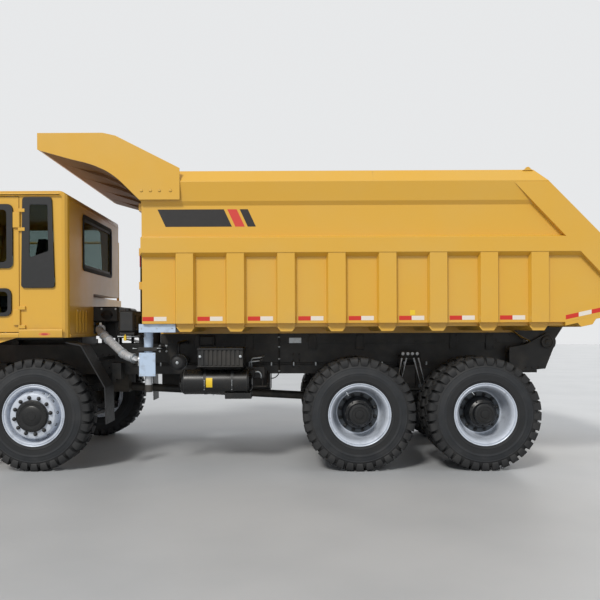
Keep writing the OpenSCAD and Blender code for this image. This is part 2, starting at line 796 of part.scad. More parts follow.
function leaf_steps(x, z, r0, up, lengths, side) = [for (i = [0:len(lengths) - 1], k = [0:1])
    let (n = side > 0 ? i : len(lengths) - 1 - i, a = side * lengths[n] / r0 * 90 / PI,
        out = side > 0 ? k : 1 - k)
    leaf_point(x, z, r0, up, r0 + (n + out) * leaf_t, a)];

module leaf_pack(x, y, z, r0, up, lengths) {
    last = len(lengths) - 1;
    a0 = lengths[0] / r0 * 90 / PI;
    a1 = lengths[last] / r0 * 90 / PI;
    inner = [for (i = [0:12]) leaf_point(x, z, r0, up, r0, -a0 + 2 * a0 * i / 12)];
    outer = [for (i = [3:-1:-3]) leaf_point(x, z, r0, up, r0 + (last + 1) * leaf_t, a1 * i / 4)];
    across(y - spring_w / 2, y + spring_w / 2) polygon(concat(
        inner, leaf_steps(x, z, r0, up, lengths, 1), outer, leaf_steps(x, z, r0, up, lengths, -1)));
}

// Clamp plates and U-bolts round a pack
module leaf_clamp(x, z0, z1, reach) {
    box([x - reach, spring_y - 90, z1], [x + reach, spring_y + 90, z1 + 25]);
    for (dx = [-reach + 30, reach - 30], dy = [-69, 69])
        bar_z(x + dx, spring_y + dy, 15, z0, z1 + 60);
}

module leaf_springs() {
    color(black) both_sides() {
        leaf_pack(front_x, spring_y, front_spring_z, front_spring_r, -1,
            [for (i = [0:front_leaves - 1]) front_spring_l - i * 170]);
        leaf_clamp(front_x, front_seat_z + seat_gap,
            front_spring_z + arc_rise(front_spring_r, 180) + seat_gap, 90);
        leaf_pack(bogie_x, spring_y, bogie_spring_z, bogie_spring_r, 1,
            [for (i = [0:bogie_leaves - 1]) bogie_l + 60 - i * 110]);
        leaf_clamp(bogie_x, trunnion_z, bogie_spring_z + bogie_leaves * leaf_t + seat_gap, 130);
    }
}

// Drive axles with their spindles

axle_tube_r = 100;
hub_spindle_r = 70;

nose_l = 330;
nose_z = axle_z + 60;
rod_r = 28;
rod_eye_r = 45;

module drive_axles() {
    color(black) for (x = [mid_x, rear_x]) {
        bar_y(x, axle_z, axle_tube_r, -twin_inner_y - 20, twin_inner_y + 20);
        spun(x, axle_z) polygon([[0, -300], [120, -280], [230, -140], [230, 140], [120, 280], [0, 300]]);
        both_sides() {
            bar_y(x, axle_z, hub_spindle_r, twin_inner_y, rear_face_y - 220);
            bar_y(x, axle_z, 225, twin_inner_y + 6, twin_inner_y + 20);
            box([x - 80, spring_y - 60, axle_z], [x + 80, spring_y + 60, bogie_pad_z]);
            box([x - 45, 160, axle_z + 100], [x + 45, 240, axle_z + 240]);
        }
        bar_x(0, nose_z, 90, x - nose_l, x);
    }
    color(black) bar_x(0, nose_z, 70, mid_x, mid_x + 260);
}

// One rod with an eye at each end
module torque_rod(a, b) {
    bar(a, b, rod_r);
    for (p = [a, b]) bar_y(p[0], p[2], rod_eye_r, p[1] - 30, p[1] + 30);
}

module torque_rods() {
    color(black) for (s = [-1, 1]) {
        x = bogie_x + s * bogie_l / 2;
        seat_x = bogie_x + s * (60 + rod_eye_r + seat_gap);
        both_sides() {
            torque_rod([x, 330, axle_z - axle_tube_r - rod_eye_r - seat_gap], [seat_x, 330, axle_z + 50]);
            torque_rod([x, 200, axle_z + 240 + rod_eye_r + seat_gap], [seat_x, 200, rail_bottom_z + 160]);
        }
    }
}

// Wheels, drawn for the right-hand side

bead_r = rim_r - 45;
// How far the front disc stands out past the tyre's face
disc_proud = 23;
// Half widths of a lug at its face and at its foot, as shares of the pitch
lug_half = 0.33;
lug_foot = 0.40;

module tyre(y0) {
    y1 = y0 + tyre_w;
    tread_r = tyre_d / 2 - lug_depth;
    step = 360 / lug_count;
    // A lug's flat face rests on the ground
    lug_r = tyre_d / 2 / cos(step * lug_half);
    union() {
        rotate([-90, 0, 0]) rotate_extrude() polygon([
            [bead_r, y0 + 25], [rim_r + 10, y0 + 12], [rim_r + 100, y0], [tread_r - 90, y0 + 4],
            [tread_r - 25, y0 + 18], [tread_r - 5, y0 + 40], [tread_r - 5, y1 - 40],
            [tread_r - 25, y1 - 18], [tread_r - 90, y1 - 4], [rim_r + 100, y1], [rim_r + 10, y1 - 12],
            [bead_r, y1 - 25]]);
        translate([0, y0 + 16, 0]) rotate([-90, 0, 0]) linear_extrude(tyre_w - 32) difference() {
            polygon([for (i = [0:lug_count - 1], k = [0:3])
                let (a = 90 + step * (i + [-lug_foot, -lug_half, lug_half, lug_foot][k]))
                (k == 1 || k == 2 ? lug_r : tread_r) * [cos(a), sin(a)]]);
            circle(r = tread_r - 60);
        }
    }
}

twin_starts = [twin_inner_y, rear_face_y - tyre_w];

module tyres_at(x, starts) {
    color(rubber) for (y = starts) translate([x, 0, axle_z]) tyre(y);
}

// Barrel of a rim, as a ring profile of [radius, y]
module rim_barrel(y0) {
    y1 = y0 + tyre_w;
    polygon([
        [well_r, y0 + 30], [bead_r - 0.3, y0 + 30], [bead_r - 0.3, y1 - 24.7], [rim_r, y1 - 11.7],
        [rim_r, y1 - 2], [rim_r - 30, y1 - 2], [well_r + 12, y1 - 40], [well_r + 12, y0 + 60]]);
}

// The front disc bulges out past the tyre's face, with a valley round it
module rim_front() {
    y0 = front_face_y - tyre_w;
    disc_y = front_face_y + disc_proud;
    color(silver) difference() {
        spun(front_x, axle_z) {
            rim_barrel(y0);
            polygon([
                [0, disc_y - 24], [248, disc_y - 24], [262, disc_y - 43], [276, disc_y - 103],
                [well_r + 13, disc_y - 131], [well_r + 13, disc_y - 111], [296, disc_y - 105],
                [278, disc_y - 38], [260, disc_y - 4], [248, disc_y], [186, disc_y],
                [186, disc_y + 28], [160, disc_y + 38], [0, disc_y + 46]]);
            polygon([
                [0, disc_y - 288], [115, disc_y - 288], [243, disc_y - 270], [243, disc_y - 133],
                [186, disc_y - 83], [186, disc_y - 23], [0, disc_y - 23]]);
        }
        bar_y(front_x, axle_z, spindle_r + run_gap, disc_y - 289, spindle_end + 1);
    }
}

module rim_twin(x) {
    inner_y = twin_inner_y;
    outer_y = rear_face_y - tyre_w;
    disc_y = rear_face_y - 290;
    color(silver) difference() {
        spun(x, axle_z) {
            rim_barrel(outer_y);
            rim_barrel(inner_y);
            polygon([[well_r, inner_y + 200], [well_r + 12.5, inner_y + 200],
                [well_r + 12.5, outer_y + 100], [well_r, outer_y + 100]]);
            polygon([
                [0, disc_y - 30], [well_r + 1, disc_y - 30], [well_r + 1, disc_y], [170, disc_y],
                [150, disc_y + 200], [0, disc_y + 210]]);
            polygon([
                [0, inner_y + 60], [120, inner_y + 60], [120, inner_y + 250], [225, inner_y + 250],
                [225, inner_y + 40], [248, inner_y + 40], [248, inner_y + 280], [160, inner_y + 300],
                [160, disc_y - 29], [0, disc_y - 29]]);
        }
        bar_y(x, axle_z, hub_spindle_r + run_gap, inner_y + 59, rear_face_y - 219);
    }
}

// Door: a panel with its window, hinged at the rear edge

module door() {
    y0 = -cab_left_y;
    x0 = door_x0 + door_gap;
    x1 = door_x1 - door_gap;
    color(ochre) {
        difference() {
            box([x0, y0, door_z0 + door_gap], [x1, y0 + cab_wall - 5, door_z1 - door_gap]);
            across(y0 - 1, y0 + cab_wall) polygon(door_window);
            across(y0 - 1, y0 + cab_wall) polygon(low_pane);
        }
        // Hinge leaves with their bores
        difference() {
            for (z = hinge_zs) {
                box([x1 - 60, y0 - 26, z], [x1, y0 + 1, z + hinge_h]);
                box([x1 - 60, y0 - 26, z], [door_x1, y0 - 2, z + hinge_h]);
                bar_z(door_x1, -hinge_line_y, 12, z, z + hinge_h);
            }
            bar_z(door_x1, -hinge_line_y, door_pin_r + run_gap, door_z0, door_z1);
        }
    }
}

module door_glass() {
    y0 = -cab_left_y;
    color(glassy) {
        across(y0 + 14, y0 + 14 + glass_t) polygon(door_window);
        across(y0 + 14, y0 + 14 + glass_t) polygon(low_pane);
    }
}

// Dump body. The tail's edge leans forward from the tip, and the floor rises to it

function tail_edge_x(z) = tail_x - (z - tail_tip_z) / tan(tail_rake);
kick_x = tail_x - (tail_tip_z - floor_z) / tan(tail_rise);

// Side view of the body, floor's upper face to top edge
side_outline = [[body_x, floor_z], [kick_x, floor_z], [tail_x, tail_tip_z],
    [tail_edge_x(body_top_z), body_top_z], [body_x, body_top_z]];

recess = 65;
facet_in = 35;
lower_in = 75;
// Heights of the side's folds, from the top edge down
chamfer_z = body_top_z - 144;
facet_z = body_top_z - 364;
recess_top_z = body_top_z - 412;
recess_low_z = body_top_z - 769;
beam_top_z = body_top_z - 792;
beam_low_z = body_top_z - 966;
panel_top_z = body_top_z - 1012;

// Section of the right-hand side: chamfer, leaning facet, recessed panel, beam and lower panel
function side_section() = [
    [load_side_y, floor_z - 1], [body_side_y - lower_in, floor_z - 1],
    [body_side_y - lower_in, panel_top_z], [body_side_y, beam_low_z], [body_side_y, beam_top_z],
    [body_side_y - recess, recess_low_z], [body_side_y - recess, recess_top_z],
    [body_side_y - facet_in, facet_z], [body_side_y, chamfer_z], [body_side_y - 100, body_top_z],
    [load_side_y, body_top_z]];

rib_lean = 24;

// Rib of the lower panel, with leaning flanks, up to the beam
module rib(x) {
    translate([0, 0, floor_z - 1]) linear_extrude(beam_low_z + 6 - floor_z) polygon([
        [x - rib_w / 2 - rib_lean, body_side_y - lower_in - 1],
        [x + rib_w / 2 + rib_lean, body_side_y - lower_in - 1],
        [x + rib_w / 2, body_side_y - 8], [x - rib_w / 2, body_side_y - 8]]);
}

// Band along the tail's edge, drawn past that edge
module tail_band() {
    across(body_side_y - lower_in - 1, body_side_y) polygon([
        [tail_x + 60, tail_tip_z - 10], [tail_edge_x(chamfer_z - 20) + 60, chamfer_z - 20],
        [tail_edge_x(chamfer_z - 20) - tail_band / sin(tail_rake), chamfer_z - 20],
        [tail_edge_x(tail_tip_z + 30) - tail_band / sin(tail_rake), tail_tip_z - 10]]);
}

module body_side() {
    intersection() {
        union() {
            along(body_x - 1, tail_x + 1) polygon(side_section());
            for (i = [0:rib_count - 1])
                rib(rib_x(i));
            tail_band();
        }
        across(load_side_y - 1, body_side_y + 1) polygon(side_outline);
    }
}

first_rib = 508;
function rib_x(i) = body_x + first_rib + i * rib_pitch;

module body_sides() {
    color(ochre) both_sides() body_side();
}

// Underside of the floor, which rises behind the kick
function under_z(x) = floor_z - floor_t + max(0, x - kick_x) * tan(tail_rise);

beam_foot = 95;
beam_half = 108;
beam_foot_half = 67;
tail_beam_x = tail_x - 902;
wear_t = 8;

// Side view of a cross beam below the floor, with its top at z1
function beam_outline(x, z1, dz) = [
    [x - beam_half, z1], [x - beam_foot_half, under_z(x - beam_foot_half) + floor_t - beam_foot],
    [x + beam_foot_half, under_z(x + beam_foot_half) + floor_t - beam_foot], [x + beam_half, z1 + dz]];

module cross_beams() {
    edge_y = body_side_y - lower_in;
    for (i = [0:rib_count - 1]) {
        across(-edge_y, edge_y) polygon(beam_outline(rib_x(i), floor_z - floor_t + 1, 0));
        // Ends under the sides, which show as tabs below the panel
        both_sides() across(load_side_y - 1, edge_y) polygon(beam_outline(rib_x(i), floor_z - seat_gap, 0));
    }
    across(-edge_y, edge_y) polygon(beam_outline(tail_beam_x, under_z(tail_beam_x - beam_half) + 1,
        2 * beam_half * tan(tail_rise)));
}

// Plate below the floor that turns on the hinge pin
module hinge_eye() {
    across(hinge_y - eye_w / 2 + safe_gap, hinge_y + eye_w / 2 - safe_gap) polygon(concat(
        [[hinge_x - 500, under_z(hinge_x - 500) + 1], [hinge_x - 300, hinge_z + 60]],
        arc([hinge_x, hinge_z], 100, 200, 360, 8),
        [[hinge_x + 300, under_z(hinge_x + 300) + 1],
            [max(kick_x, hinge_x - 490), under_z(kick_x) + 1]]));
}

// Wear plate of the load space, cut out round the foot of the front wall's pocket
module wear_plate() {
    cut_y = pocket_half + pocket_t + 1;
    difference() {
        box([body_x + front_wall_t + 1, -load_side_y + 1, floor_z - 1],
            [kick_x - 1, load_side_y - 1, floor_z + wear_t]);
        box([body_x, -cut_y, floor_z - 2], [pocket_foot_x + 1, cut_y, floor_z + wear_t + 1]);
    }
}

module body_floor() {
    color(ochre) difference() {
        union() {
            // Floor and the rising tail
            across(-load_side_y, load_side_y) polygon([
                [body_x, floor_z - floor_t], [kick_x, floor_z - floor_t], [tail_x, tail_tip_z - floor_t],
                [tail_x, tail_tip_z], [kick_x, floor_z], [body_x, floor_z]]);
            // Tail's edge below the sides
            both_sides() across(load_side_y - 1, body_side_y - lower_in) polygon([
                [kick_x, floor_z - floor_t], [tail_x, tail_tip_z - floor_t],
                [tail_x, tail_tip_z - seat_gap], [kick_x, floor_z - seat_gap]]);
            wear_plate();
            cross_beams();
            // Two runners that lie on the frame's bearers
            both_sides() box([body_x, runner_y - runner_w / 2, bearer_top_z + seat_gap],
                [bearer_x1, runner_y + runner_w / 2, floor_z - floor_t + 1]);
            // Box that takes the exhaust's heat, over the upright pipe
            box([body_x - 44, -body_side_y + 110, duct_z],
                [body_x + 370, -body_side_y + 490, floor_z - floor_t + 1]);
            both_sides() hinge_eye();
        }
        both_sides() bar_y(hinge_x, hinge_z, hinge_pin_r + run_gap, hinge_y - 200, hinge_y + 200);
        pocket_space();
    }
}

// Pocket of the front wall, into which the leaning hoist comes as the body tips
pocket_top = hoist_head_z - 230;
pocket_rake = 20;
pocket_half = barrel_r + 20;
pocket_t = 30;
pocket_foot_z = floor_z + seat_gap;

// Where the pocket's leaning plate stands at a height
function pocket_x(z) = body_x + (pocket_top - z) * tan(pocket_rake);
pocket_foot_x = pocket_x(pocket_foot_z) + pocket_t / cos(pocket_rake);

module pocket_plates() {
    across(-pocket_half - pocket_t, pocket_half + pocket_t) polygon([
        [body_x + front_wall_t - 1, pocket_top + pocket_t], [body_x + front_wall_t - 1, pocket_foot_z],
        [pocket_foot_x, pocket_foot_z],
        [body_x + front_wall_t + 5, pocket_top + pocket_t]]);
}

module pocket_space() {
    low_z = floor_z - floor_t - 1;
    across(-pocket_half, pocket_half) polygon([
        [body_x - 61, pocket_top], [body_x - 61, low_z], [pocket_x(low_z), low_z], [body_x, pocket_top]]);
}

module front_wall() {
    difference() {
        union() {
            box([body_x, -load_side_y + seat_gap, floor_z + seat_gap],
                [body_x + front_wall_t, load_side_y - seat_gap, canopy_side_z - seat_gap]);
            // Stiffeners across the wall
            for (z = [2150, 2550, canopy_side_z - 98])
                box([body_x - 60, -load_side_y + 60, z], [body_x + 1, load_side_y - 60, z + 90]);
            pocket_plates();
        }
        pocket_space();
    }
}

module body_front() {
    x = front_x + hoist_back;
    ear_y = stage_r[2] + safe_gap + 15;
    color(ochre) {
        front_wall();
        // Ears for the hoist's head
        for (s = [-1, 1])
            across(s * ear_y - 15, s * ear_y + 15)
                polygon(concat([[body_x + 1, hoist_head_z + 200]],
                    arc([x, hoist_head_z], 80, 90, 270, 8), [[body_x + 1, hoist_head_z - 200]]));
    }
}

// Canopy: a sheet that carries on from the front wall, with side boards and a front lip.
// Each row is a distance ahead of the front wall and a height above the wall's top edge
canopy_under = [[45, 0], [152, 106], [258, 212], [390, 305], [577, 385], [802, 438], [1149, 537]];

canopy_back = 457;
canopy_low_z = canopy_top_z - 743;
canopy_side_z = canopy_top_z - 777;
// Foot of the side boards' rear end, below the body's top edge
board_low_z = body_top_z - 352;
canopy_rib_ys = [400, 1150];
canopy_rib_h = 55;
canopy_rib_t = 40;

function canopy_sheet(t) = [for (p = canopy_under)
    [body_x - p[0] * canopy_reach / 1188 + t, canopy_low_z + p[1] + t]];

// Stiffeners that run forward under the sheet
module canopy_ribs() {
    under = canopy_sheet(0);
    last = len(under) - 1;
    for (y = canopy_rib_ys)
        across(y - canopy_rib_t / 2, y + canopy_rib_t / 2) polygon(concat(
            [for (i = [1:last]) under[i] + [0, 1]], [for (i = [last:-1:2]) under[i] + [20, -canopy_rib_h]]));
}

module canopy() {
    lip_x = body_x - canopy_reach;
    under = canopy_sheet(0);
    over = canopy_sheet(canopy_t * 0.7);
    last = len(under) - 1;
    wall_x = body_x + 30;
    end_x = body_x + canopy_back;
    cut_low_z = min(board_low_z, canopy_side_z) - 1;
    color(ochre) both_sides() canopy_ribs();
    color(ochre) difference() {
        across(-canopy_y, canopy_y) polygon(concat(
            [[end_x, board_low_z], [body_x - 10, canopy_side_z]], under,
            [[lip_x, canopy_top_z - 100], [lip_x, canopy_top_z], [lip_x + 757, canopy_top_z],
                [lip_x + 904, canopy_top_z - 33], [end_x + 2, body_top_z + 13]]));
        // Space above the sheet, between the side boards
        across(-body_side_y - seat_gap, body_side_y + seat_gap) polygon(concat(
            [[lip_x + 60, canopy_top_z + 1], [lip_x + 60, canopy_top_z - 160]],
            [for (i = [last - 1:-1:0]) over[i]],
            [[wall_x, canopy_low_z + 20], [wall_x, cut_low_z], [end_x + 50, cut_low_z],
                [end_x + 50, canopy_top_z + 1]]));
        // Room for the body's sides
        both_sides() box([body_x, load_side_y - seat_gap, cut_low_z],
            [end_x + 50, body_side_y + seat_gap, canopy_top_z]);
    }
}

// Hoist: a barrel and three stages, each inside the last

stage_r = [barrel_r - 14, barrel_r - 38, barrel_r - 62];
stage_wall = 10;
gland_h = 50;
hoist_x = front_x + hoist_back;
barrel_top = hoist_head_z - 210;

// Closed at its foot, with a gland at its mouth that guides the next stage
module tube(r, next_r, z0, z1) {
    difference() {
        bar_z(hoist_x, 0, r, z0, z1);
        bar_z(hoist_x, 0, r - stage_wall, z0 + 20, z1 - gland_h);
        bar_z(hoist_x, 0, next_r + run_gap, z1 - gland_h - 1, z1 + 1);
    }
}

module hoist_barrel() {
    color(black) {
        tube(barrel_r, stage_r[0], hoist_foot_z + 100, barrel_top);
        difference() {
            union() {
                bar_y(hoist_x, hoist_foot_z, 80, -hoist_eye_w / 2, hoist_eye_w / 2);
                box([hoist_x - 60, -hoist_eye_w / 2, hoist_foot_z],
                    [hoist_x + 60, hoist_eye_w / 2, hoist_foot_z + 101]);
            }
            bar_y(hoist_x, hoist_foot_z, hoist_pin_r + run_gap, -200, 200);
        }
    }
}

module hoist_stage_1() {
    color(silver) tube(stage_r[0], stage_r[1], hoist_foot_z + 126, barrel_top + 20);
}

module hoist_stage_2() {
    color(silver) tube(stage_r[1], stage_r[2], hoist_foot_z + 152, barrel_top + 40);
}

module hoist_rod() {
    color(silver) {
        bar_z(hoist_x, 0, stage_r[2], hoist_foot_z + 178, barrel_top + 60);
        bar_z(hoist_x, 0, 60, barrel_top + 59, hoist_head_z);
        bar_y(hoist_x, hoist_head_z, 70, -stage_r[2], stage_r[2]);
    }
}

frame();
bumper();
engine();
radiator();
hood();
deck_rails();
cab_shell();
cab_glass();
cab_interior();
mirrors();
lamps();
mudguards();
fuel_tank();
battery_box();
side_tank();
exhaust();
driveline();
front_axle();
leaf_springs();
drive_axles();
torque_rods();
mirror([0, 1, 0]) knuckle();  // knuckle_left
knuckle();  // knuckle_right
tie_rod();
mirror([0, 1, 0]) rim_front();  // rim_front_left
rim_front();  // rim_front_right
mirror([0, 1, 0]) rim_twin(mid_x);  // rim_mid_left
rim_twin(mid_x);  // rim_mid_right
mirror([0, 1, 0]) rim_twin(rear_x);  // rim_rear_left
rim_twin(rear_x);  // rim_rear_right
mirror([0, 1, 0]) tyres_at(front_x, [front_face_y - tyre_w]);  // tyre_front_left
tyres_at(front_x, [front_face_y - tyre_w]);  // tyre_front_right
mirror([0, 1, 0]) tyres_at(mid_x, twin_starts);  // tyres_mid_left
tyres_at(mid_x, twin_starts);  // tyres_mid_right
mirror([0, 1, 0]) tyres_at(rear_x, twin_starts);  // tyres_rear_left
tyres_at(rear_x, twin_starts);  // tyres_rear_right
door();
door_glass();
body_floor();
body_sides();
body_front();
canopy();
hoist_barrel();
hoist_stage_1();
hoist_stage_2();
hoist_rod();
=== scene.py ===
"""Mining dump truck: finishes, tyres, small fittings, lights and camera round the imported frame."""
import json
from math import cos, pi, radians, sin

import bmesh
import bpy
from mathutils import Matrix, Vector

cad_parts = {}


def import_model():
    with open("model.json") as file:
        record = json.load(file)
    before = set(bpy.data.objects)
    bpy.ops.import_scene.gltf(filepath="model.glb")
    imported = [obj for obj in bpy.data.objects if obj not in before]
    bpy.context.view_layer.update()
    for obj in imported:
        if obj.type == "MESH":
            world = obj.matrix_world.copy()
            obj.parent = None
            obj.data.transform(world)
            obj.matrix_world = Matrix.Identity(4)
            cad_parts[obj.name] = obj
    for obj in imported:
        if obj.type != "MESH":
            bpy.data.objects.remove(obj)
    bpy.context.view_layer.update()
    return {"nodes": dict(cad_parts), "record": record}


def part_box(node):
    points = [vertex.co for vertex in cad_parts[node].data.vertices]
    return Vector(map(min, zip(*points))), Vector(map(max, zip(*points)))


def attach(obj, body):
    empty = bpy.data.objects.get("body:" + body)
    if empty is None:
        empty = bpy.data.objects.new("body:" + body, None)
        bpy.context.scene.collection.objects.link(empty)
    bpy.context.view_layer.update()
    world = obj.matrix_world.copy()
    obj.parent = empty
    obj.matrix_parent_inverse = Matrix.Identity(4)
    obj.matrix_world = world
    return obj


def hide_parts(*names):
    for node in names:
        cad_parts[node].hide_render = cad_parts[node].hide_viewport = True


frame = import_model()

# Camera, from the photograph's perspective
CAM_AT = (0.1855, -9.64, 1.673)
FOCAL_PX = 686
IMAGE_PX = 600
VANISH_PX = (295, 329)
ROLL_DEG = 0.25


def camera():
    data = bpy.data.cameras.new("camera")
    data.sensor_width = 36
    data.lens = data.sensor_width * FOCAL_PX / IMAGE_PX
    data.shift_x = (IMAGE_PX / 2 - VANISH_PX[0]) / IMAGE_PX
    data.shift_y = (VANISH_PX[1] - IMAGE_PX / 2) / IMAGE_PX
    data.clip_start, data.clip_end = 0.1, 200
    obj = bpy.data.objects.new("camera", data)
    obj.location = CAM_AT
    obj.rotation_euler = (radians(90), radians(ROLL_DEG), 0)
    bpy.context.scene.collection.objects.link(obj)
    bpy.context.scene.camera = obj


camera()


# Places, read from the frame. All lengths of the pieces are in millimetres, as in the CAD
MM = 1000


def box_mm(node):
    """Lowest and highest corner of a CAD node."""
    return [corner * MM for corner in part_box(node)]


def middle(node):
    low, high = box_mm(node)
    return (low + high) / 2


SIDES = {"left": -1, "right": 1}
FRONT_X = middle("rim_front_left").x
MID_X = middle("rim_mid_left").x
REAR_X = middle("rim_rear_left").x
AXLE_Z = middle("rim_front_left").z
TYRE_R = AXLE_Z
FRONT_FACE_Y = box_mm("tyre_front_right")[1].y
TYRE_W = FRONT_FACE_Y - box_mm("tyre_front_right")[0].y
REAR_FACE_Y = box_mm("tyres_rear_right")[1].y
TWIN_IN_Y = box_mm("tyres_rear_right")[0].y
BODY_X = box_mm("body_sides")[0].x
BODY_Y = box_mm("body_sides")[1].y
BODY_TOP = box_mm("body_sides")[1].z
CAB_Y = -box_mm("cab_shell")[0].y
CAB_X0, CAB_X1 = box_mm("cab_shell")[0].x, box_mm("cab_shell")[1].x
ROOF_Z = box_mm("cab_shell")[1].z
DOOR_TOP = ROOF_Z - 60
CANOPY_Y = box_mm("canopy")[1].y
LOAD_Y = box_mm("body_front")[1].y
RAIL_Y, BEARER_Y = 480, 495
SEAT = 0.4  # How far a fitting stands off the face that carries it
RAIL_FACE, BEARER_FACE = -RAIL_Y - SEAT, -BEARER_Y - SEAT
PANE_GAP = 0.8  # Between a pane's border and its opening
HINGE_X, HINGE_Z, HINGE_END_Y, EYE_Y = 3482.5, 1489, 667, 609.2
KIT_X = box_mm("battery_box")[0].x


# Colours as sRGB values, which materials take as linear ones

def linear(rgb):
    shares = [v / 255 for v in rgb]
    return [c / 12.92 if c <= 0.04045 else ((c + 0.055) / 1.055) ** 2.4 for c in shares] + [1]


PAINT = (216, 166, 54)
PAINT_DUSTY = (208, 170, 86)
# Lighter paint near edges: a painted highlight, with a little wear
EDGE_HIGHLIGHT_AND_WEAR = (240, 200, 110)
CHASSIS_BLACK = (27, 28, 29)
DUST = (120, 110, 96)


class Shader:
    """A node material built up from a colour, with helpers for texture, wear and bump."""

    def __init__(self, name, rgb, rough=0.5, metal=0):
        self.material = bpy.data.materials.new(name)
        self.material.use_nodes = True
        self.tree = self.material.node_tree
        self.bsdf = self.tree.nodes["Principled BSDF"]
        self.colour = linear(rgb)
        self.fill(self.bsdf, Base_Color=self.colour, Roughness=rough, Metallic=metal)

    def put(self, value, into):
        """Sets an input, or links it where the value is another node's output."""
        if isinstance(value, bpy.types.NodeSocket):
            self.tree.links.new(value, into)
        else:
            into.default_value = value

    def fill(self, node, **values):
        """Sets a node's inputs and properties by name, with _ for a space."""
        for key, value in values.items():
            name = key.replace("_", " ")
            if name in node.inputs:
                self.put(value, node.inputs[name])
            else:
                setattr(node, key, value)
        return node

    def node(self, kind, **values):
        return self.fill(self.tree.nodes.new("ShaderNode" + kind), **values)

    def place(self):
        """Place on the object at rest, in metres."""
        return self.node("TexCoord").outputs["Object"]

    def noise(self, scale, detail):
        return self.node("TexNoise", Vector=self.place(), Scale=scale, Detail=detail).outputs["Fac"]

    def steps(self, value, low, high):
        """Share that grows from 0 at low to 1 at high."""
        return self.node("MapRange", Value=value, From_Min=low, From_Max=high).outputs["Result"]

    def times(self, a, b):
        made = self.node("Math", operation="MULTIPLY")
        self.put(a, made.inputs[0])
        self.put(b, made.inputs[1])
        return made.outputs[0]

    def height(self):
        return self.node("SeparateXYZ", Vector=self.place()).outputs["Z"]

    def soft_normal(self, radius):
        return self.node("Bevel", Radius=radius, samples=4).outputs["Normal"]

    def blend(self, rgb, share):
        """Lays another colour over the base colour where share is above 0."""
        base = self.bsdf.inputs["Base Color"]
        below = base.links[0].from_socket if base.links else self.colour
        made = self.node("Mix", data_type="RGBA", Factor=share, A=below, B=linear(rgb))
        self.put(made.outputs["Result"], base)

    def patches(self, rgb, scale, detail, low, high, share):
        """Lays another colour over the base colour in patches."""
        self.blend(rgb, self.times(self.steps(self.noise(scale, detail), low, high), share))

    def worn_and_highlit_edges(self, rgb, radius, share):
        """Lays another colour near edges, where the rounded normal leans from the true one: wear on the
        black finishes, a painted highlight with a little wear on the paint.
        """
        dot = self.node("VectorMath", operation="DOT_PRODUCT")
        self.put(self.soft_normal(radius), dot.inputs[0])
        self.put(self.node("NewGeometry").outputs["Normal"], dot.inputs[1])
        self.blend(rgb, self.times(self.steps(dot.outputs["Value"], 0.995, 0.9), share))

    def rough(self, scale, detail, low, high):
        """Roughness that wanders between low and high."""
        made = self.node("MapRange", Value=self.noise(scale, detail), To_Min=low, To_Max=high)
        self.fill(self.bsdf, Roughness=made.outputs["Result"])

    def bump(self, height, strength, distance, bevel=0):
        made = self.node("Bump", Height=height, Strength=strength, Distance=distance)
        if bevel:
            self.fill(made, Normal=self.soft_normal(bevel))
        self.fill(self.bsdf, Normal=made.outputs["Normal"])

    def grain(self, scale, detail, strength, distance, bevel=0):
        self.bump(self.noise(scale, detail), strength, distance, bevel)


def paint_shader(name):
    """Sprayed ochre enamel: soft clouds, orange peel, edges lightened by a painted highlight with a
    little wear, and dust low down.
    """
    s = Shader(name, PAINT, 0.36)
    s.patches(PAINT_DUSTY, 0.9, 4, 0.45, 0.75, 0.45)
    # Lighter edges: a painted highlight, with a little wear
    s.worn_and_highlit_edges(EDGE_HIGHLIGHT_AND_WEAR, 0.006, 0.35)
    low = s.times(s.steps(s.height(), 2.0, 1.2), s.steps(s.noise(5, 5), 0.45, 0.8))
    s.blend(DUST, s.times(low, 0.35))
    s.rough(7, 4, 0.28, 0.48)
    s.grain(140, 2, 0.06, 0.001, 0.005)
    s.fill(s.bsdf, Coat_Weight=0.32, Coat_Roughness=0.1)
    return s.material


def black_shader(name, rgb, rough, dust, grain):
    """Black enamel over rough steel, with dust that settles in patches."""
    s = Shader(name, rgb, rough)
    low = s.times(s.steps(s.noise(4, 6), 0.45, 0.75), s.steps(s.height(), 2.2, 0.5))
    s.blend(DUST, s.times(low, dust))
    s.worn_and_highlit_edges((74, 74, 72), 0.004, 0.5)
    s.rough(9, 4, rough - 0.12, rough + 0.2)
    s.grain(grain, 4, 0.15, 0.002, 0.004)
    return s.material


def silver_shader(name):
    """Silver wheel paint with fine metal flake, streaks of dust and darker grease."""
    s = Shader(name, (196, 203, 214), 0.34, 0.25)
    s.patches((150, 156, 166), 9, 6, 0.5, 0.75, 0.55)
    s.patches((104, 102, 98), 26, 6, 0.6, 0.8, 0.45)
    s.rough(30, 3, 0.25, 0.5)
    s.grain(260, 2, 0.1, 0.0008, 0.002)
    return s.material


def rubber_shader(name, rgb, dust):
    """Tyre rubber: fine grain, dull bloom and dust in patches."""
    s = Shader(name, rgb, 0.72)
    s.patches((78, 77, 76), 6, 6, 0.42, 0.72, dust)
    s.patches((22, 23, 24), 17, 4, 0.5, 0.7, 0.4)
    s.rough(12, 4, 0.6, 0.85)
    s.grain(170, 5, 0.25, 0.002, 0.004)
    return s.material


def steel_shader(name, rgb, rough, metal):
    """Bare or plated steel with streaks."""
    s = Shader(name, rgb, rough, metal)
    s.patches((110, 104, 98), 14, 6, 0.5, 0.8, 0.4)
    s.rough(40, 3, max(rough - 0.1, 0.05), rough + 0.15)
    s.grain(120, 3, 0.08, 0.001, 0.002)
    return s.material


def glass_shader(name):
    """Tinted cab glass, thin and slightly grey."""
    s = Shader(name, (150, 162, 160), 0.04)
    s.fill(s.bsdf, Transmission_Weight=1, IOR=1.03, Specular_IOR_Level=0.8)
    s.rough(2, 3, 0.02, 0.07)
    return s.material


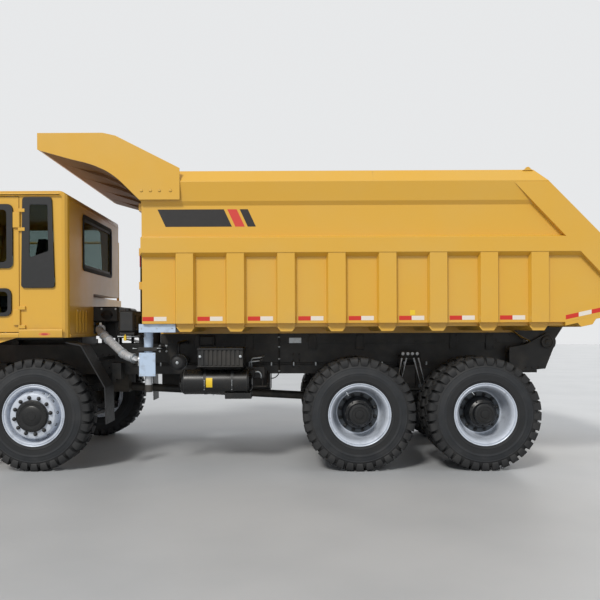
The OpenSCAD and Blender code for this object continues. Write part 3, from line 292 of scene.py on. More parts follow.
def flat_shader(name, rgb, rough, speck, grain):
    """Plastic, tape or printed film: even colour with faint scuffs and grain."""
    s = Shader(name, rgb, rough)
    s.patches([min(255, v * 0.75 + 40) for v in rgb], 22, 5, 0.5, 0.8, speck)
    s.rough(18, 3, rough - 0.08, rough + 0.12)
    s.grain(grain, 3, 0.08, 0.001)
    return s.material


def lens_shader(name, rgb):
    """Moulded lamp lens with fine flutes under a clear face."""
    s = Shader(name, rgb, 0.12)
    wave = s.node("TexWave", Scale=28, Vector=s.place()).outputs["Fac"]
    s.blend([min(255, v * 0.6 + 60) for v in rgb], s.times(wave, 0.35))
    s.bump(wave, 0.3, 0.001)
    s.fill(s.bsdf, Coat_Weight=1)
    return s.material


# What each finish is called, how it is made, its colour and its other values
M = {name: make(name, *values) for name, make, *values in (
    ("paint", paint_shader),
    ("black_steel", black_shader, CHASSIS_BLACK, 0.45, 0.35, 60),
    ("iron", black_shader, (34, 34, 34), 0.55, 0.5, 35),
    ("rim_silver", silver_shader),
    ("tread", rubber_shader, (24, 25, 27), 0.22),
    ("sidewall", rubber_shader, (29, 32, 36), 0.2),
    ("sidewall_inner", rubber_shader, (20, 22, 25), 0.08),
    ("hub_black", flat_shader, (12, 13, 14), 0.36, 0.06, 90),
    ("flange_grey", flat_shader, (66, 73, 80), 0.36, 0.08, 90),
    ("gloss_black", black_shader, (16, 17, 18), 0.24, 0.12, 90),
    # Darker brown paint: painted shade under the canopy
    ("paint_shade", flat_shader, (112, 76, 40), 0.6, 0.3, 120),
    ("pipe", steel_shader, (196, 199, 203), 0.22, 0.3),
    ("bright_rod", steel_shader, (236, 240, 244), 0.3, 0.1),
    ("chrome_rod", steel_shader, (205, 208, 212), 0.12, 1),
    ("zinc", steel_shader, (190, 196, 200), 0.35, 0.6),
    ("cab_glass", glass_shader),
    ("lamp_lens", lens_shader, (232, 232, 226)),
    ("amber_lens", lens_shader, (226, 120, 30)),
    ("red_lens", lens_shader, (190, 34, 26)),
    ("trim", flat_shader, (24, 25, 27), 0.5, 0.12, 200),
    ("rubber_seal", flat_shader, (20, 21, 22), 0.7, 0.2, 120),
    ("tape_red", flat_shader, (204, 46, 30), 0.35, 0.15, 400),
    ("tape_white", flat_shader, (226, 218, 206), 0.35, 0.15, 400),
    ("decal_black", flat_shader, (30, 28, 28), 0.4, 0.1, 50),
    ("decal_red", flat_shader, (206, 62, 52), 0.4, 0.12, 50),
    ("label_yellow", flat_shader, (232, 196, 44), 0.45, 0.1, 50),
    ("shield", steel_shader, (186, 204, 226), 0.35, 0.15))}
SLOTS = [m["slot"] for m in frame["record"]["materials"]]


class Build:
    """Gathers shapes, in millimetres of the CAD's frame, into one mesh that rides on a CAD body."""

    def __init__(self, name, body, *materials, slot=None):
        self.name, self.body = name, body
        self.materials = list(materials)
        self.slot = slot or (materials[0] if materials[0] in SLOTS else "trim")
        self.verts, self.faces, self.marks = [], [], []
        self.at = (0, 0, 0)  # Where the places given from here on are measured from

    def add(self, verts, faces, material=None):
        first = len(self.verts)
        mark = self.materials.index(material) if material else 0
        self.verts += [[(c + start) / MM for c, start in zip(v, self.at)] for v in verts]
        self.faces += [[first + i for i in face] for face in faces]
        self.marks += [mark] * len(faces)

    def rings(self, rings, material=None, caps=True, closed=False, around=True):
        """Joins rows of points, each row to the next."""
        n = len(rings[0])
        verts = [v for ring in rings for v in ring]
        last = len(rings) if closed else len(rings) - 1
        span = n if around else n - 1
        faces = []
        for i in range(last):
            a, b = i * n, (i + 1) % len(rings) * n
            faces += [[a + j, a + (j + 1) % n, b + (j + 1) % n, b + j] for j in range(span)]
        if caps and not closed:
            faces += [list(range(n)), list(range((len(rings) - 1) * n, len(rings) * n))]
        self.add(verts, faces, material)

    def box(self, low, high, chamfer=0, material=None):
        """A block between two corners, with its edges cut back by chamfer."""
        low, high = zip(*(sorted(pair) for pair in zip(low, high)))
        c = min(chamfer, *(abs(h - l) * 0.45 for l, h in zip(low, high)))
        if not c:
            base = rect(*low[:2], *high[:2])
            self.rings([[(x, y, z) for x, y in base] for z in (low[2], high[2])], material)
            return
        rows = []
        for z, inset in ((low[2], c), (low[2] + c, 0), (high[2] - c, 0), (high[2], c)):
            x0, x1, y0, y1 = low[0] + inset, high[0] - inset, low[1] + inset, high[1] - inset
            k = c if inset == 0 else c * 0.4
            rows.append([(x0 + k, y0, z), (x1 - k, y0, z), (x1, y0 + k, z), (x1, y1 - k, z),
                         (x1 - k, y1, z), (x0 + k, y1, z), (x0, y1 - k, z), (x0, y0 + k, z)])
        self.rings(rows, material)

    def across(self, outline, y0, y1, material=None):
        """A flat outline of (x, z) points, made solid from y0 to y1."""
        self.rings([[(x, y, z) for x, z in outline] for y in (y0, y1)], material)

    def along(self, outline, x0, x1, material=None):
        """A flat outline of (y, z) points, made solid from x0 to x1."""
        self.rings([[(x, y, z) for y, z in outline] for x in (x0, x1)], material)

    def lathe(self, profile, at, axis, sides, material=None, closed=False, caps=True):
        """Turns (radius, distance) points about an axis through at."""
        rows = []
        for r, d in profile:
            row = []
            for i in range(sides):
                a = 2 * pi * i / sides
                u, v = max(r, 0.01) * cos(a), max(r, 0.01) * sin(a)
                row.append({"y": (u, d, v), "x": (d, u, v), "z": (u, v, d)}[axis])
            rows.append([Vector(at) + Vector(p) for p in row])
        self.rings(rows, material, caps=caps, closed=closed)

    def tube(self, points, radius, sides=10, material=None, caps=True):
        """A round tube through points, with its rings turned to halve each bend.

        The way at the last point is nil, so the last ring closes to an edge."""
        points = [Vector(p) for p in points]
        side, rows = None, []
        for i, p in enumerate(points):
            ahead = (points[min(i + 1, len(points) - 1)] - p).normalized()
            behind = (p - points[max(i - 1, 0)]).normalized()
            way = (ahead + behind).normalized() if ahead.length and behind.length else ahead
            if side is None:
                side = way.cross(Vector((0, 0, 1)) if abs(way.z) < 0.9 else Vector((1, 0, 0)))
            side = (side - way * side.dot(way)).normalized()
            up = way.cross(side)
            r = radius[i] if isinstance(radius, (list, tuple)) else radius
            rows.append([p + r * (cos(a) * side + sin(a) * up)
                         for a in (2 * pi * k / sides for k in range(sides))])
        self.rings(rows, material, caps=caps)

    def bolt(self, at, axis, r=12, h=10, material=None, washer=1.5):
        """A hexagon head on a washer, standing out of at along axis."""
        at, axis = Vector(at), Vector(axis).normalized()
        self.tube([at, at + axis * h * 0.25], r * washer, 12, material)
        self.tube([at + axis * h * share for share in (0.2, 0.85, 1)], [r, r, r * 0.82], 6, material)

    def make(self, *replaced, smooth=32):
        mesh = bpy.data.meshes.new(self.name)
        mesh.from_pydata(self.verts, [], self.faces)
        for name in self.materials:
            mesh.materials.append(M[name])
        mesh.polygons.foreach_set("material_index", self.marks)
        work = bmesh.new()
        work.from_mesh(mesh)
        bmesh.ops.remove_doubles(work, verts=work.verts, dist=1e-6)
        bmesh.ops.dissolve_degenerate(work, edges=work.edges, dist=1e-6)
        bmesh.ops.recalc_face_normals(work, faces=work.faces)
        work.to_mesh(mesh)
        work.free()
        mesh.shade_smooth()
        mesh.set_sharp_from_angle(angle=radians(smooth))
        obj = bpy.data.objects.new(self.name, mesh)
        bpy.context.scene.collection.objects.link(obj)
        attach(obj, self.body)
        if replaced:
            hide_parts(*replaced)
        return obj


def rect(x0, z0, x1, z1):
    """Corners of a rectangle, anticlockwise from low left."""
    return [(x0, z0), (x1, z0), (x1, z1), (x0, z1)]


def arc(cx, cz, r, a0, a1, n=8):
    """Points of an arc from angle a0 to a1 in degrees."""
    return [(cx + r * cos(radians(a0 + (a1 - a0) * i / n)),
             cz + r * sin(radians(a0 + (a1 - a0) * i / n))) for i in range(n + 1)]


# Finishes of the CAD's own nodes

def finish_nodes():
    slot_of = {part["node"]: part["material_slot"] for part in frame["record"]["subparts"]}
    for name, obj in frame["nodes"].items():
        finish = "gloss_black" if name == "side_tank" else slot_of[name]
        for holder in obj.material_slots:
            holder.material = M[finish]
        for polygon in obj.data.polygons:
            polygon.use_smooth = True
        obj.data.set_sharp_from_angle(angle=radians(30))


# Tyres

LUGS = 33
TREAD_R = TYRE_R - 24
# Sidewall from the bead to the tread's middle: radius, and how far in from the widest plane
SIDEWALL = [
    (322, 40), (330, 26), (352, 19), (371, 13), (378, 7), (384, 3.5),
    (396, 3), (399, 0.8), (405, 0.6), (408, 3), (430, 2.2), (462, 1.4),
    (478, 2), (482, 0.2), (489, 0), (493, 2.8), (512, 4.2), (530, 6.8),
    (546, 10.5), (550, 8.5), (556, 9.5), (560, 13.5), (576, 18), (594, 25),
    (610, 35), (624, 48), (634, 64), (639, 84), (TREAD_R, 120), (TREAD_R, 187.5)]
INNER_END, OUTER_END = 12, 21
# A lug's stations from the sidewall to the tread's middle: top radius and inset, foot radius and
# inset, half widths of top and foot, and slant, the last three as shares of the pitch
LUG = [
    (570, 15.8, 560, 30, 0.26, 0.3, 0),
    (584, 10, 574, 40, 0.31, 0.36, 0),
    (612, 8.5, 590, 52, 0.34, 0.39, 0),
    (640, 12.5, 606, 66, 0.355, 0.41, 0),
    (656, 21.5, 615, 78, 0.36, 0.41, 0.01),
    (TYRE_R, 40, 622, 90, 0.355, 0.41, 0.03),
    (TYRE_R, 100, 622, 112, 0.33, 0.39, 0.1),
    (TYRE_R, 160, 622, 164, 0.25, 0.32, 0.24),
    (663.5, 181.5, 622, 184, 0.2, 0.27, 0.3)]


def on_wheel(x, y, r, turn):
    """Point at a radius and an angle about an axle."""
    return Vector((x + r * cos(turn), y, AXLE_Z + r * sin(turn)))


def tyre(build, x, y0, y1):
    """A radial lug tyre between two planes, its two rows of lugs half a pitch apart."""
    mid, half = (y0 + y1) / 2, abs(y1 - y0) / 2
    pitch = 2 * pi / LUGS
    for side in (-1, 1):
        wall = [(r, side * (half - inset)) for r, inset in SIDEWALL]
        for part, mark in ((wall[:INNER_END], "sidewall_inner"),
                           (wall[INNER_END - 1:OUTER_END], "sidewall"), (wall[OUTER_END - 1:], "tread")):
            build.lathe(part, (x, mid, AXLE_Z), "y", 4 * LUGS, mark, caps=False)
        shrink = 0 if side * mid > 0 else 2.2
        for i in range(LUGS):
            a0 = -pi / 2 + pitch * (i + (0 if side * mid > 0 else 0.5))
            rows = []
            for top_r, top_in, foot_r, foot_in, top_h, foot_h, slant in LUG:
                row = []
                for r, inset, share in ((foot_r, foot_in, -foot_h), (top_r - shrink, top_in, -top_h),
                                        (top_r - shrink, top_in, top_h), (foot_r, foot_in, foot_h)):
                    a = a0 + pitch * (share + slant)
                    r = r / cos(pitch * share) if r > foot_r else r
                    row.append(on_wheel(x, mid + side * (half - inset), r, a))
                rows.append(row)
            build.rings(rows, "tread")


# Wheels. Profiles are (radius, distance out from the tyre's face)
FLANGE = [(305, -330), (312, -352), (340, -358), (352, -372), (368, -373), (370, -366),
          (356, -352), (326, -345), (326, -40), (352, -30), (370, -16), (370, -4),
          (367.5, -0.5), (362.5, 0), (358, -3), (355.5, -9.5), (352.5, -12.5),
          (350, -12.5), (348, -8)]
FRONT_DISH = FLANGE + [
    (344, -5.5), (334, -7), (327, -12.5), (319, -28), (313, -52),
    (308, -78), (302, -88), (296, -82), (290, -64), (278, -15),
    (270, 7), (260, 19), (248, 23), (180, 23), (180, 0), (250, -2),
    (262, -20), (276, -80), (288, -105), (300, -108), (305, -130)]
REAR_DISH = FLANGE + [
    (344, -5), (334, -7), (324, -18), (312, -36), (305, -56),
    (301, -100), (293, -180), (278, -255), (266, -283), (256, -290),
    (180, -290), (180, -316), (270, -316), (290, -300), (305, -300)]
NUTS = 12
NUT_STEP = 360 / NUTS
NUT_CIRCLE = 216


def wheel_side(build, x, face, out, profile, mark="rim_silver", sides=96, closed=True):
    """Turns a profile about the axle."""
    build.lathe([(r, out * d) for r, d in profile], (x, face, AXLE_Z), "y", sides, mark, closed=closed)


def nuts(build, x, y, out, turn):
    """Wheel nuts on their studs, with plain round collars."""
    r, h = 16.5, 30
    for i in range(NUTS):
        at, way = on_wheel(x, y, NUT_CIRCLE, radians(turn + NUT_STEP * i)), Vector((0, out, 0))
        for heights, radii, sides in (((0, 8, 11), (1.42, 1.42, 1.2), 18),
                                      ((9, h - 4, h), (1.12, 1.12, 1), 6),
                                      ((h - 2, h + 10, h + 13), (0.62, 0.62, 0.45), 12)):
            build.tube([at + way * d for d in heights], [r * k for k in radii], sides, "trim")


def bolt_circle(build, x, y, out, circle, turn, r, h):
    for i in range(NUTS):
        build.bolt(on_wheel(x, y, circle, radians(turn + NUT_STEP * i)), (0, out, 0), r, h, "hub_black")


def valve(build, x, y, out, r, turn):
    """Tyre valve's bent stem."""
    a = radians(turn)
    stem = ((0, 0), (0, 20), (20, 35), (45, 45))
    build.tube([on_wheel(x, y + out * d, r - back, a) for back, d in stem], 4, 8, "zinc")


def front_wheel(side):
    out, face = SIDES[side], SIDES[side] * FRONT_FACE_Y
    body = f"wheel_front_{side}"
    rubber = Build(f"tyre_front_{side}_tread", body, "tread", "sidewall", "sidewall_inner")
    tyre(rubber, FRONT_X, face - out * TYRE_W, face)
    rubber.make(f"tyre_front_{side}", smooth=38)
    rim = Build(f"rim_front_{side}_dish", body, "rim_silver", "trim", "zinc", "hub_black")
    wheel_side(rim, FRONT_X, face, out, FRONT_DISH)
    # Hand holes, each a dark oval of painted shade
    for i in range(NUTS):
        hand_hole(rim, FRONT_X, face, out, radians(7 + NUT_STEP * i))
    nuts(rim, FRONT_X, face + out * 23, out, 9.5)
    valve(rim, FRONT_X, face - out * 45, out, 312, 52)
    # Drum, hub and the cap over its reduction gear
    wheel_side(rim, FRONT_X, face, out, [
        (0, -265), (115, -268), (130, -255), (236, -250), (243, -240), (243, -110),
        (225, -90), (186, -60), (186, 30), (188.5, 34), (188.5, 44), (184, 50),
        (178, 52), (174, 58), (160, 60.5), (147, 60.5), (143, 56), (118, 55),
        (108, 60.5), (52, 63), (48, 68), (30, 69), (0, 69)],
        "hub_black", 72, closed=False)
    bolt_circle(rim, FRONT_X, face + out * 58.5, out, 167.5, 24, 6.5, 8)
    rim.make(f"rim_front_{side}", smooth=28)


def hand_hole(build, x, face, out, a):
    """A hand hole, as a dark oval of painted shade just over the disc's conical slope."""
    low, high = Vector((288.5, -59)), Vector((272.5, 2))
    way = (high - low).normalized()
    centre = (low + high) / 2 + Vector((way.y, -way.x))
    points = []
    for k in range(16):
        t = 2 * pi * k / 16
        r, d = centre + way * 21 * sin(t)
        points.append(on_wheel(x, face + out * d, r, a + 19.5 * cos(t) / r))
    build.add(points, [range(16)], "hub_black")


def rear_wheel(axle, side):
    x = MID_X if axle == "mid" else REAR_X
    out, face = SIDES[side], SIDES[side] * REAR_FACE_Y
    body = f"wheel_{axle}_{side}"
    rubber = Build(f"tyres_{axle}_{side}_tread", body, "tread", "sidewall", "sidewall_inner")
    tyre(rubber, x, face - out * TYRE_W, face)
    tyre(rubber, x, out * TWIN_IN_Y, out * (TWIN_IN_Y + TYRE_W))
    rubber.make(f"tyres_{axle}_{side}", smooth=38)
    rim = Build(f"rim_{axle}_{side}_dish", body, "rim_silver", "trim", "zinc", "hub_black",
                "flange_grey")
    wheel_side(rim, x, face, out, REAR_DISH)
    inner_face = out * (TWIN_IN_Y + TYRE_W)
    wheel_side(rim, x, inner_face, out, FLANGE + [(344, -6), (330, -8), (312, -40), (305, -80)])
    nuts(rim, x, face - out * 290, out, 16)
    valve(rim, x, face - out * 60, out, 304, 120)
    wheel_side(rim, x, face, out, [
        (0, -745), (120, -745), (125, -560), (225, -555), (225, -765), (248, -765),
        (248, -530), (190, -500), (190, -300), (196.5, -286), (196.5, -250), (186, -236),
        (176, -215), (170, -150), (160, -130), (140, -118), (128, -110), (124, -50),
        (121, -40), (114, -34), (90, -30), (86, -34), (52, -33), (48, -26),
        (30, -24), (0, -24)],
        "hub_black", 72, closed=False)
    # Dark grey ring round the nuts, on the disc's face
    wheel_side(rim, x, face, out, [(190, -289.6), (190, -288.5), (246.5, -288.5), (247, -289.6)],
               "flange_grey", 72)
    bolt_circle(rim, x, face - out * 123, out, 151, 0, 7.5, 10)
    rim.make(f"rim_{axle}_{side}", smooth=28)


# Dump body: reflective tapes, stripe decal and stickers

RIB_FIRST, RIB_PITCH, RIBS = BODY_X + 508, 590, 8
RECESS_Y = BODY_Y - 65
PANEL_Y = BODY_Y - 75
TAPE_Z, TAPE_H, TAPE_L = 1772, 50, 147
FILM = 1.2


def film(build, corners, y, out, material):
    """A thin film with (x, z) corners that lies on a side's face at y."""
    build.across(corners, out * y, out * (y + FILM), material)


def tapes():
    """Red and white tapes along the lower panel and up the tail."""
    for side, out in SIDES.items():
        build = Build(f"tapes_{side}", "dump_body", "tape_red", "tape_white")
        for i in range(-1, RIBS - 1):
            x = BODY_X + 4 if i < 0 else RIB_FIRST + i * RIB_PITCH + 139
            split = 134 if i < 0 else TAPE_L
            for x0, x1, material in ((x, x + split - 2, "tape_red"),
                                     (x + split, x + split + TAPE_L, "tape_white")):
                film(build, rect(x0, TAPE_Z, x1, TAPE_Z + TAPE_H), PANEL_Y, out, material)
        # The last pieces climb with the tail
        for k, material in enumerate(("tape_red", "tape_white") * 2):
            x0, x1 = 3354 + k * 152, 3354 + (k + 1) * 152 - 3
            za, zb = (1771 + (x - 3350) * 0.2126 for x in (x0, x1))
            corners = [(x0, za), (x1, zb), (x1, zb + TAPE_H), (x0, za + TAPE_H)]
            film(build, corners, PANEL_Y, out, material)
        build.make()


def decal():
    """Slanted stripes on the recessed panel, plain where the photograph has words."""
    z0, z1, slant = 2872, 3075, 94
    for side, out in SIDES.items():
        build = Build(f"stripes_{side}", "dump_body", "decal_black", "decal_red")
        for x0, x1, material in ((-1415, -640, "decal_black"), (-600, -490, "decal_red"),
                                 (-455, -360, "decal_black")):
            corners = [(x0 + slant, z0), (x1 + slant, z0), (x1, z1), (x0, z1)]
            film(build, corners, RECESS_Y, out, material)
        build.make()


def heat_cover():
    """Bright sheet round the box that takes the exhaust's heat, under the body's front corner."""
    build = Build("heat_cover", "dump_body", "shield", "zinc")
    x0, x1, y0, y1, z0, z1 = BODY_X - 46.5, BODY_X + 372.5, -1583.5, -1200, 1639, 1699
    skin = 2.4
    build.box((x0, y0, z0), (x1 + 12, y0 + skin, 1738), 1)
    build.box((x0, y0 + skin, z0), (x1, y1, z0 + skin), 1)
    for x in (x0, x1 - skin):
        build.box((x, y0 + skin, z0 + skin), (x + skin, y1, z1), 1)
    for x in (x0 + 30, x0 + 210, x1 - 30):
        build.bolt((x, y0, z1 - 12), (0, -1, 0), 6, 6, "zinc")
    build.make()


def canopy():
    """Canopy over the cab: side boards, bent sheet, front lip and stiffeners, with painted shade in
    darker brown under the sheet.
    """
    build = Build("canopy_sheet", "dump_body", "paint", "paint_shade")
    (lip, _, side), (end, _, top) = box_mm("canopy")
    low = top - 743
    # Distances ahead of the front wall and above the wall's top edge
    knees = [(45, 0), (152, 106), (258, 212), (390, 305), (577, 385), (802, 438), (1149, 537)]
    under = [(v.x, v.z) for v in bend([(BODY_X - a, 0, low + b) for a, b in knees], 90, 4)]
    over = [(x + 8, z + 12) for x, z in under]
    wall = BODY_X - 10
    board = [(end, side), (wall, side)] + under + [
        (lip, top - 190), (lip, top), (lip + 757, top), (lip + 904, top - 33), (end, BODY_TOP + 13)]
    for out in (-1, 1):
        build.across(board, out * CANOPY_Y, out * (BODY_Y + 0.3))
    inner = BODY_Y + 0.3
    # Lower layer of the sheet in darker brown: painted shade on its underside
    middle = [(x + 3, z + 5) for x, z in under]
    build.across(under + middle[::-1], -inner, inner, "paint_shade")
    build.across(middle + over[::-1], -inner, inner)
    build.across([(wall, side), (wall, low - 2), under[0], over[0], (BODY_X - SEAT, low + 20),
                  (BODY_X - SEAT, side)], -inner, inner)
    build.across([(BODY_X, side), (BODY_X, low + 20), (BODY_X + 30, low + 20), (BODY_X + 30, side)],
                 -LOAD_Y, LOAD_Y)
    # Front lip with its folded edge
    build.across([(lip, top - 190), under[-1], over[-1], (lip + 8, top - 180), (lip + 8, top - 8),
                  (lip + 60, top - 8), (lip + 60, top), (lip, top)], -inner, inner)
    # Stiffeners under the sheet, low at both ends, in the darker brown of painted shade
    n = len(under) - 1
    for y in (-1150, -400, 400, 1150):
        foot = [(x, z - 30 * min(1, 4 * i / n, 4 * (n - i) / n)) for i, (x, z) in enumerate(under)]
        build.across([(x, z + 1) for x, z in under] + foot[n - 1:0:-1], y - 8, y + 8, "paint_shade")
    build.make("canopy")


def canopy_bolts():
    """Bolts of the canopy's side boards, and the bead along their foot."""
    for side, out in SIDES.items():
        build = Build(f"canopy_bolts_{side}", "dump_body", "paint")
        y = out * CANOPY_Y
        for x in (-1585, -1481, -1377, -1250):
            build.bolt((x, y, 3282), (0, out, 0), 13, 9)
        # Weld bead along the side board's foot
        build.tube([(BODY_X - 10, out * (BODY_Y + 1), 3172), (BODY_X + 450, out * (BODY_Y + 1), 3172)],
                   4, 6)
        build.make()


def body_fittings():
    """Front corner markers, lifting lugs, weld beads and blank stickers of the dump body."""
    build = Build("body_fittings", "dump_body", "paint", "red_lens", "rubber_seal")
    x = BODY_X - 34
    for y in (-1560, 1560):
        build.box((x + 12, y - 35, 2385), (BODY_X - SEAT, y + 35, 2565), 6, "rubber_seal")
        build.box((x, y - 28, 2405), (x + 14, y + 28, 2545), 8, "red_lens")
    # Lifting lugs near the tail's top corners
    foot = BODY_TOP - 10
    outline = [(2860, foot)] + arc(2920, foot + 6, 34, 160, 20) + [(2980, foot)]
    for y in (-1600, 1600):
        build.across(outline, y - 10, y + 10)
    for y in (-1, 1):
        # Joint of the two top plates, and the weld along the lower panel's head
        build.tube([(1101, y * (BODY_Y + 0.5), BODY_TOP - 146),
                    (1101, y * (BODY_Y - 99.5), BODY_TOP - 1)], 3.2, 6)
        build.tube([(BODY_X + 2, y * (PANEL_Y + 1), 1742), (3340, y * (PANEL_Y + 1), 1742)],
                   3.5, 6)
    build.make()
    sticker = Build("body_sticker", "dump_body", "label_yellow")
    for out in (-1, 1):
        film(sticker, rect(1532, 1832, 1592, 1888), PANEL_Y, out, "label_yellow")
    sticker.make()


# Pipes and small chassis parts

def bend(points, r, n=5):
    """Points with each corner rounded over a length r."""
    points = [Vector(p) for p in points]
    made = [points[0]]
    for a, b, c in zip(points, points[1:], points[2:]):
        cut = min(r, (b - a).length * 0.48, (c - b).length * 0.48)
        p, q = b + (a - b).normalized() * cut, b + (c - b).normalized() * cut
        for i in range(n + 1):
            t = i / n
            made.append(p * (1 - t) ** 2 + b * 2 * t * (1 - t) + q * t ** 2)
    return made + [points[-1]]


def band(build, at, way, r, width, thick, material, sides=28):
    """A clamp band round a pipe, with its bolt."""
    at, way = Vector(at), Vector(way).normalized()
    build.tube([at + way * width * share for share in (-0.5, -0.35, 0.35, 0.5)],
               [r + thick * 0.5, r + thick, r + thick, r + thick * 0.5], sides, material)
    side = way.cross(Vector((0, 0, 1))).normalized()
    side = side if side.y < 0 else -side
    lug = at + side * (r + thick)
    build.tube([lug - Vector((0, 0, 28)), lug + Vector((0, 0, 28))], 7, 6, material)


STACK_X, STACK_Y = BODY_X + 28.5, -1400


def exhaust():
    """Pipe from the engine's rear, clamps, upright pipe, heat plate and tailpipe."""
    build = Build("exhaust_pipes", "chassis", "pipe", "shield", "iron", "zinc", "black_steel")
    start = FRONT_X + 200.3
    a, b, c, d = (Vector(p) for p in (
        (FRONT_X + 500, -450, 1690), (FRONT_X + 549, -750, 1662), (FRONT_X + 1033, -1300, 1351),
        (STACK_X - 115, STACK_Y + 2, 1310)))
    build.tube(bend([(start, -200, 1690), (start + 90, -200, 1690), a, b, c, d], 120, 8), 52, 28)
    # Ribbed stretch ahead of the first clamp
    rib = (b - a) * 0.014
    for i in range(9):
        p = a.lerp(b, 0.22 + 0.05 * i)
        build.tube([p - rib, p, p + rib], [52.5, 58.5, 52.5], 28, caps=False)
    for foot, head, share in ((b, c, 0.2), (b, c, 0.37), (b, c, 0.9), (c, d, 0.6)):
        band(build, foot.lerp(head, share), head - foot, 52.5, 34, 7, "zinc")
    # Upright pipe up to the body, with its elbow into it
    build.at = (STACK_X, STACK_Y, 0)
    build.tube(bend([(-115, 2, 1310), (-10, 0, 1310), (0, 0, 1400)], 50, 5), 52, 28)
    for profile, sides, material in (
            ([(0, 1300), (50, 1300), (54, 1320), (54, 1560), (57.5, 1564), (57.5, 1576), (53, 1580),
              (53, 1634), (46, 1636), (0, 1636)], 32, "shield"),
            ([(0, 1010), (45, 1010), (45, 1300), (0, 1300)], 28, "pipe"),
            ([(0, 960), (36, 960), (40, 925), (46, 925), (47, 1012), (0, 1012)], 28, "iron")):
        build.lathe(profile, (0, 0, 0), "z", sides, material)
    # Heat plate, a sheet with its edges turned back, on two straps
    x0, x1, y, z0, z1 = -98, 97, -79.8, 1118, 1398
    outline = [(x0, y + 20), (x0, y + 4), (x0 + 4, y), (x1 - 4, y), (x1, y + 4), (x1, y + 20),
               (x1 - 2, y + 20), (x1 - 2, y + 5), (x1 - 5, y + 2), (x0 + 5, y + 2), (x0 + 2, y + 5),
               (x0 + 2, y + 20)]
    build.rings([[(px, py, z) for px, py in outline] for z in (z0, z1)], "shield")
    for z, r in ((1160, 45.5), (1350, 54)):
        build.box((-20, y + 2, z), (20, -44, z + 12), 2, "zinc")
        band(build, (0, 0, z + 6), (0, 0, 1), r, 30, 3, "zinc")
    for x in (x0 + 20, x1 - 20):
        for z in (z0 + 20, z1 - 20):
            build.bolt((x, y, z), (0, -1, 0), 5, 5, "zinc")
    # Tray over the plate, with a pin at each end, and the arm that carries all from the rail
    rail, plate = RAIL_FACE - STACK_Y, 15.6
    for low, high, chamfer in (
            ((-115, -75, 1418), (115, -58, 1462), 4), ((-110, -60, 1424), (-85, 200, 1446), 3),
            ((85, -60, 1424), (110, 200, 1446), 3), ((-110, 180, 1424), (110, 210, 1446), 3),
            ((-30, 200, 1420), (30, rail, 1450), 4), ((-60, rail - plate, 1370), (60, rail, 1470), 3)):
        build.box(low, high, chamfer, "black_steel")
    for x in (-175, 115):
        build.tube([(x, -66, 1450), (x + 60, -66, 1450)], 7, 10, "zinc")
    for z in (1385, 1455):
        for x in (-45, 45):
            build.bolt((x, rail - plate, z), (0, -1, 0), 10, 9, "zinc")
    build.make("exhaust")


def frame_details(side):
    """Bolts, bearer plates, the bogie's rods and the hinge pin's cap, on the outside of a rail."""
    out = SIDES[side]
    web, bearer = out * RAIL_Y, out * BEARER_Y
    build = Build(f"rail_details_{side}", "chassis", "black_steel", "iron", "bright_rod")
    for back in (-1220, 560, 2100, 3100, 5950):
        for dx in (-42, 42):
            for z in (1165, 1250, 1335):
                if side == "left" or back not in (2100, 560):
                    build.bolt((FRONT_X + back + dx, web, z), (0, out, 0), 10, 10, "iron")
    # Plates that tie the bearer to the rail
    for x in (-1100, -420, 420, 1050, 2300, 2780):
        build.box((x - 55, bearer + out * SEAT, 1395), (x + 55, bearer + out * 10.4, 1598), 3)
        for dx in (-34, 34):
            for z in (1420, 1575):
                build.bolt((x + dx, bearer + out * 10.4, z), (0, out, 0), 9, 9, "iron")
    # Row of small bolts along the bearer
    for i in range(26):
        x = -1450 + 180 * i
        build.bolt((x, bearer, 1590 if i % 2 else 1512), (0, out, 0), 5.5, 5, "iron")
    # Bright rods over the bogie's spring, with their bracket
    def slab(y0, y1, x0, x1, z0, z1):
        build.box((x0, out * y0, z0), (x1, out * y1, z1), 8, "iron")

    slab(640, 692, 1545, 1825, 1262, 1300)
    slab(480.6, 692, 1560, 1810, 1300, 1322)
    for x, top_x, low_x, low_z in ((1592, 1575, 1530, 1050), (1656, 1637, 1568, 1000),
                                   (1716, 1731, 1829, 900), (1779, 1791, 1872, 950)):
        build.tube([(top_x, out * 702, 1290), (low_x, out * 702, low_z)], 11, 12, "bright_rod")
        build.bolt((x, out * 692, 1345), (0, out, 0), 17, 18, "bright_rod", 1.25)
    slab(660, 691.5, 1560, 1810, 1316, 1378)
    # Foot that holds the rods' lower ends on the saddle
    slab(682, 715, 1500, 1900, 868, 905)
    # Hinge pin's cap with its ring and keeper
    hinge = Vector((HINGE_X, out * HINGE_END_Y, HINGE_Z))
    cap = [(0, 0), (62, 0), (62, 6), (78, 6), (80, 10), (80, 16), (70, 19),
           (66, 12), (34, 12), (30, 20), (12, 22), (0, 22)]
    build.lathe([(r, out * d) for r, d in cap], hinge, "y", 36, "iron")
    for x in (3206, 3290, 3373):
        build.bolt((x, out * 655, 1150), (0, out, 0), 10, 10, "iron")
    build.make()
    # Black skins over the body's hinge plates
    skins = Build(f"hinge_skins_{side}", "dump_body", "black_steel")
    eye = arc(HINGE_X, HINGE_Z, 98.5, 200, 360, 10)
    corners = [(HINGE_X - 496, 1698.5), (HINGE_X - 298, HINGE_Z + 62)] + eye + [
        (HINGE_X + 297, 1790), (HINGE_X - 132, 1698.5)]
    skins.across(corners, out * EYE_Y, out * (EYE_Y + 2))
    skins.make()


# Side kit between the front and middle wheels

